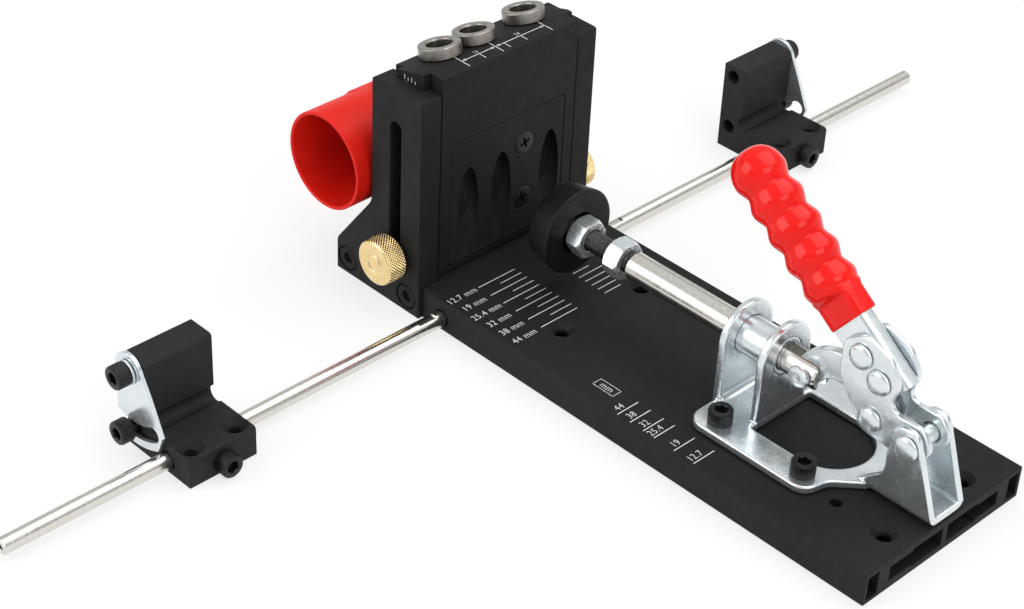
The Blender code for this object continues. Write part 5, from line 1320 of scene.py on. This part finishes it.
def dress_grip():
    """Show the ribbed grip as a loft that flattens onto the bar."""
    shape = bmesh.new()
    rings = []
    for place, depth, thick, boxy in grip_sections():
        ring = []
        for step in range(GRIP_SIDES):
            angle = 2 * math.pi * step / GRIP_SIDES
            wide, tall = (math.copysign(abs(part) ** (2 / boxy), part) for part in polar(1, angle))
            ridge = 1 + PARTING_RIDGE * math.exp(-((angle - math.pi) / PARTING_SPREAD) ** 2)
            ring.append(shape.verts.new((depth * wide * ridge, thick * tall, place)))
        rings.append(ring)
    skin(shape, rings)
    shape.faces.new(rings[0])
    shape.faces.new(rings[-1])
    show(solid("vinyl_grip", shape, handle_frame()), RED_VINYL, "grip", 60)


# Printed scales
INK_THICK = 0.00003
INK_LINE = 0.00036
THIN_LINE = 0.0003
FRAME_LINE = 0.0002
FIGURE_WIDTH = 0.88
FIGURE_SIZE = 0.0040
SCALE_START = 0.0127
SCALE_STEP = 0.00635
SCALE_NUMBERS = ("12.7", "19", "25.4", "32", "38", "44")
FAR_TICKS_START = 0.0286
FAR_TICKS_STEP = 0.00318
FAR_TICK_ENDS = (0.0150, 0.0203, 0.0170, 0.0165, 0.0160, 0.0152)
CLAMP_MARKS = ((0.0962, "44"), (0.1019, "38"), (0.1079, "32"), (0.1128, "25.4"), (0.1217, "19"),
               (0.1304, "12.7"))
BLOCK_MARKS = (-0.019, -0.003, 0.0207)
BLOCK_LINE = -0.0055


class Print:
    """White ink on one flat face, drawn in the face's own plane."""

    def __init__(self, name, place, body):
        self.name = name
        self.place = place
        self.body = body
        self.points = []
        self.faces = []

    def add(self, points, faces):
        """Add faces over a list of points."""
        offset = len(self.points)
        self.points += [(x, y, 0) for x, y, *_ in points]
        self.faces += [tuple(offset + index for index in face) for face in faces]

    def line(self, start, end, width=INK_LINE):
        """Draw a straight stroke."""
        start = Vector(start)
        end = Vector(end)
        side = (end - start).normalized().orthogonal() * width / 2
        self.add([start + side, start - side, end - side, end + side], [range(4)])

    def arrow(self, tip, direction, size=0.0016):
        """Draw a filled arrow head."""
        tip = Vector(tip)
        back = Vector(direction).normalized() * size
        side = back.orthogonal() * 0.42
        self.add([tip, tip - back + side, tip - back - side], [range(3)])

    def words(self, text, centre, size=FIGURE_SIZE, turn=0.0):
        """Draw figures about a centre."""
        curve = bpy.data.curves.new("figures", "FONT")
        curve.body = text
        curve.size = size
        curve.align_x = "CENTER"
        curve.align_y = "CENTER"
        curve.offset = -0.00004
        curve.space_character = 1.05
        curve.resolution_u = 3
        drawing = new_object("figures", curve, UPRIGHT)
        mesh = settled(drawing)
        bpy.data.objects.remove(drawing, do_unlink=True)
        spin = at(*centre, 0) @ Matrix.Rotation(turn, 4, "Z")
        spin = spin @ Matrix.Diagonal((FIGURE_WIDTH, 1, 1, 1))
        self.add([spin @ vertex.co for vertex in mesh.vertices],
                 [face.vertices for face in mesh.polygons])

    def finish(self):
        """Make the thin solid ink."""
        mesh = bpy.data.meshes.new(self.name)
        mesh.from_pydata(self.points, [], self.faces)
        shape = bmesh.new()
        shape.from_mesh(mesh)
        for face in shape.faces:
            if face.normal.z < 0:
                face.normal_flip()
        shape.to_mesh(mesh)
        shape.free()
        piece = new_object(self.name, mesh, self.place @ at(0, 0, INK_THICK))
        thick = piece.modifiers.new("thick", "SOLIDIFY")
        thick.thickness = INK_THICK
        thick.offset = -1
        mesh.materials.append(INK.material)
        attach(piece, self.body)


def print_base():
    """Print the thickness scales on the base plate."""
    top = Print("base_scale_ink", at(FENCE, 0, BASE_TOP), "base")
    for index, number in enumerate(SCALE_NUMBERS):
        x = SCALE_START + SCALE_STEP * index
        top.line((x, -0.0247), (x, -0.0069))
        top.words(number + " mm", (x + 0.0001, -0.0328), 0.0042, QUARTER)
        if index:
            top.line((x - SCALE_STEP / 2, -0.0169), (x - SCALE_STEP / 2, -0.00665))
    for index, end in enumerate(FAR_TICK_ENDS):
        x = FAR_TICKS_START + FAR_TICKS_STEP * index
        top.line((x, 0.0070), (x, end))
    for x, number in CLAMP_MARKS:
        top.line((x, -0.040), (x, -0.0300))
        top.words(number, (x - 0.0023, -0.0368), turn=QUARTER)
    corners = [(0.0790, -0.0342), (0.0884, -0.0342), (0.0884, -0.0301), (0.0790, -0.0301)]
    for start, end in zip(corners, corners[1:] + corners[:1]):
        top.line(start, end, FRAME_LINE)
    top.words("mm", (0.0837, -0.0322))
    top.finish()


def print_block():
    """Print the drill spacing on the guide block."""
    strip = Print("block_scale_ink", at(FENCE, 0, BLOCK_HIGH.z), "guide_head")
    for y in BLOCK_MARKS:
        strip.line((-0.0093, y), (-0.0013, y), THIN_LINE)
    for start, end, number in zip(BLOCK_MARKS, BLOCK_MARKS[1:], ("16", "24")):
        middle = (start + end) / 2
        strip.line((BLOCK_LINE, start + 0.0012), (BLOCK_LINE, end - 0.0012), THIN_LINE)
        strip.arrow((BLOCK_LINE, start + 0.0003), (0, -1))
        strip.arrow((BLOCK_LINE, end - 0.0003), (0, 1))
        strip.words(number, (-0.0071, middle), 0.0026, QUARTER)
        strip.line((BLOCK_LINE, middle + 0.0002), (-0.0020, middle + 0.0002), THIN_LINE)
    strip.line((BLOCK_LINE, 0.0010), (-0.0020, 0.0010), THIN_LINE)
    strip.finish()


def print_tongue():
    """Print the few ticks on the guide block's tongue."""
    middle = FENCE - (TONGUE_FRONT + TONGUE_BACK) / 2
    tongue = Print("tongue_scale_ink", at(middle, BLOCK_LOW.y, 0.0885) @ SIDE_VIEW, "guide_head")
    tongue.line((-0.0030, 0), (0.0022, -0.0006), THIN_LINE)
    for index in range(4):
        x = -0.0030 + 0.0018 * index
        tongue.line((x, 0.0008), (x, 0.0021 if index % 2 else 0.0028), THIN_LINE)
    tongue.finish()


# Stage
SKY = ((0.0, 1.0), (0.22, 0.95), (0.30, 0.30), (0.42, 0.35), (0.50, 0.70), (0.70, 0.75),
       (1.0, 0.70))
FLOOR_REACH = 6.0
FLOOR_TONE = 0.82
FLOOR_GLOW = 0.72


def world_light():
    """Make a soft white studio: a pale horizon, a dark gap and a softer ceiling."""
    world = bpy.data.worlds.new("studio")
    bpy.context.scene.world = world
    world.use_nodes = True
    tree = world.node_tree
    place = new_node(tree, "TexCoord", {}).outputs["Generated"]
    height = new_node(tree, "SeparateXYZ", {"Vector": place}).outputs["Z"]
    ramp = new_node(tree, "ValToRGB", {"Fac": height})
    fill_ramp(ramp.color_ramp, [(step, (level, level, level)) for step, level in SKY])
    tree.links.new(ramp.outputs["Color"], tree.nodes["Background"].inputs["Color"])


def floor():
    """Make the pale floor, which keeps a faint shadow and otherwise shows white."""
    mesh = bpy.data.meshes.new("floor")
    mesh.from_pydata([(-FLOOR_REACH, -FLOOR_REACH, 0), (FLOOR_REACH, -FLOOR_REACH, 0),
                      (FLOOR_REACH, FLOOR_REACH, 0), (-FLOOR_REACH, FLOOR_REACH, 0)], [],
                     [(0, 1, 2, 3)])
    piece = new_object("floor", mesh, at(0, 0, cad_low.z - 0.0002))
    material = bpy.data.materials.new("pale_floor")
    material.use_nodes = True
    tree = material.node_tree
    shader = tree.nodes["Principled BSDF"]
    shader.inputs["Base Color"].default_value = (FLOOR_TONE, FLOOR_TONE, FLOOR_TONE, 1)
    shader.inputs["Roughness"].default_value = 0.9
    shader.inputs["Specular IOR Level"].default_value = 0.0
    glow = new_node(tree, "Emission", {}, Strength=1.0)
    rays = tree.nodes.new("ShaderNodeLightPath").outputs
    seen = rays["Is Camera Ray"]
    for kind in ("Is Glossy Ray", "Is Transmission Ray"):
        either = new_node(tree, "Math", {0: seen, 1: rays[kind]})
        either.operation = "MAXIMUM"
        seen = either.outputs["Value"]
    share = new_node(tree, "Math", {0: seen})
    share.operation = "MULTIPLY"
    share.inputs[1].default_value = FLOOR_GLOW
    mix = new_node(tree, "MixShader", {"Fac": share.outputs["Value"], 1: shader.outputs["BSDF"],
                                       2: glow.outputs["Emission"]})
    tree.links.new(mix.outputs["Shader"], tree.nodes["Material Output"].inputs["Surface"])
    mesh.materials.append(material)


def lamp(name, place, size, power, target=(0, 0, 0)):
    """Add one soft area lamp that faces a target."""
    light = bpy.data.lights.new(name, "AREA")
    light.shape = "SQUARE"
    light.size = size
    light.energy = power
    aim = (Vector(target) - Vector(place)).to_track_quat("-Z", "Y")
    new_object(name, light, at(*place) @ aim.to_matrix().to_4x4())


def camera():
    """Put the camera at the photograph's viewpoint."""
    data = bpy.data.cameras.new("camera")
    data.lens = CAMERA_LENS
    data.sensor_width = SENSOR_WIDTH
    data.clip_start = 0.01
    data.clip_end = 50.0
    level = math.cos(CAMERA_TILT)
    forward = -Vector((level * math.cos(CAMERA_TURN), level * math.sin(CAMERA_TURN),
                       math.sin(CAMERA_TILT)))
    right = forward.cross(Vector((0, 0, 1))).normalized()
    up = right.cross(forward)
    cosine, sine = polar(1, CAMERA_ROLL)
    turn = Matrix((cosine * right + sine * up, cosine * up - sine * right, -forward))
    place = Matrix.Translation(CAMERA_PLACE) @ turn.transposed().to_4x4()
    bpy.context.scene.camera = new_object("camera", data, place)


def dress():
    """Show every piece of the jig."""
    dress_base()
    for side in SIDES:
        dress_post(side)
        dress_rod(side)
        dress_knob(side)
        dress_stop(side)
        dress_flip(side)
    dress_block()
    dress_face()
    for index in (1, 2):
        dress_face_screw(index)
    dress_bushings()
    dress_port()
    dress_screws()
    dress_clamp_base()
    dress_plunger()
    dress_pins()
    dress_rivets()
    dress_spindle()
    dress_nuts()
    dress_rubber_cap()
    dress_yoke()
    dress_link()
    dress_handle_bar()
    dress_grip()
    print_base()
    print_block()
    print_tongue()


camera()
dress()
world_light()
floor()
lamp("key_lamp", (0.15, 0.50, 1.40), 1.3, 11.0)
lamp("fill_lamp", (1.30, -0.25, 1.10), 1.0, 8.0)
lamp("side_lamp", (-0.75, -1.25, 0.85), 1.0, 10.0, (0, 0, 0.03))
bpy.context.scene.view_settings.view_transform = "Standard"
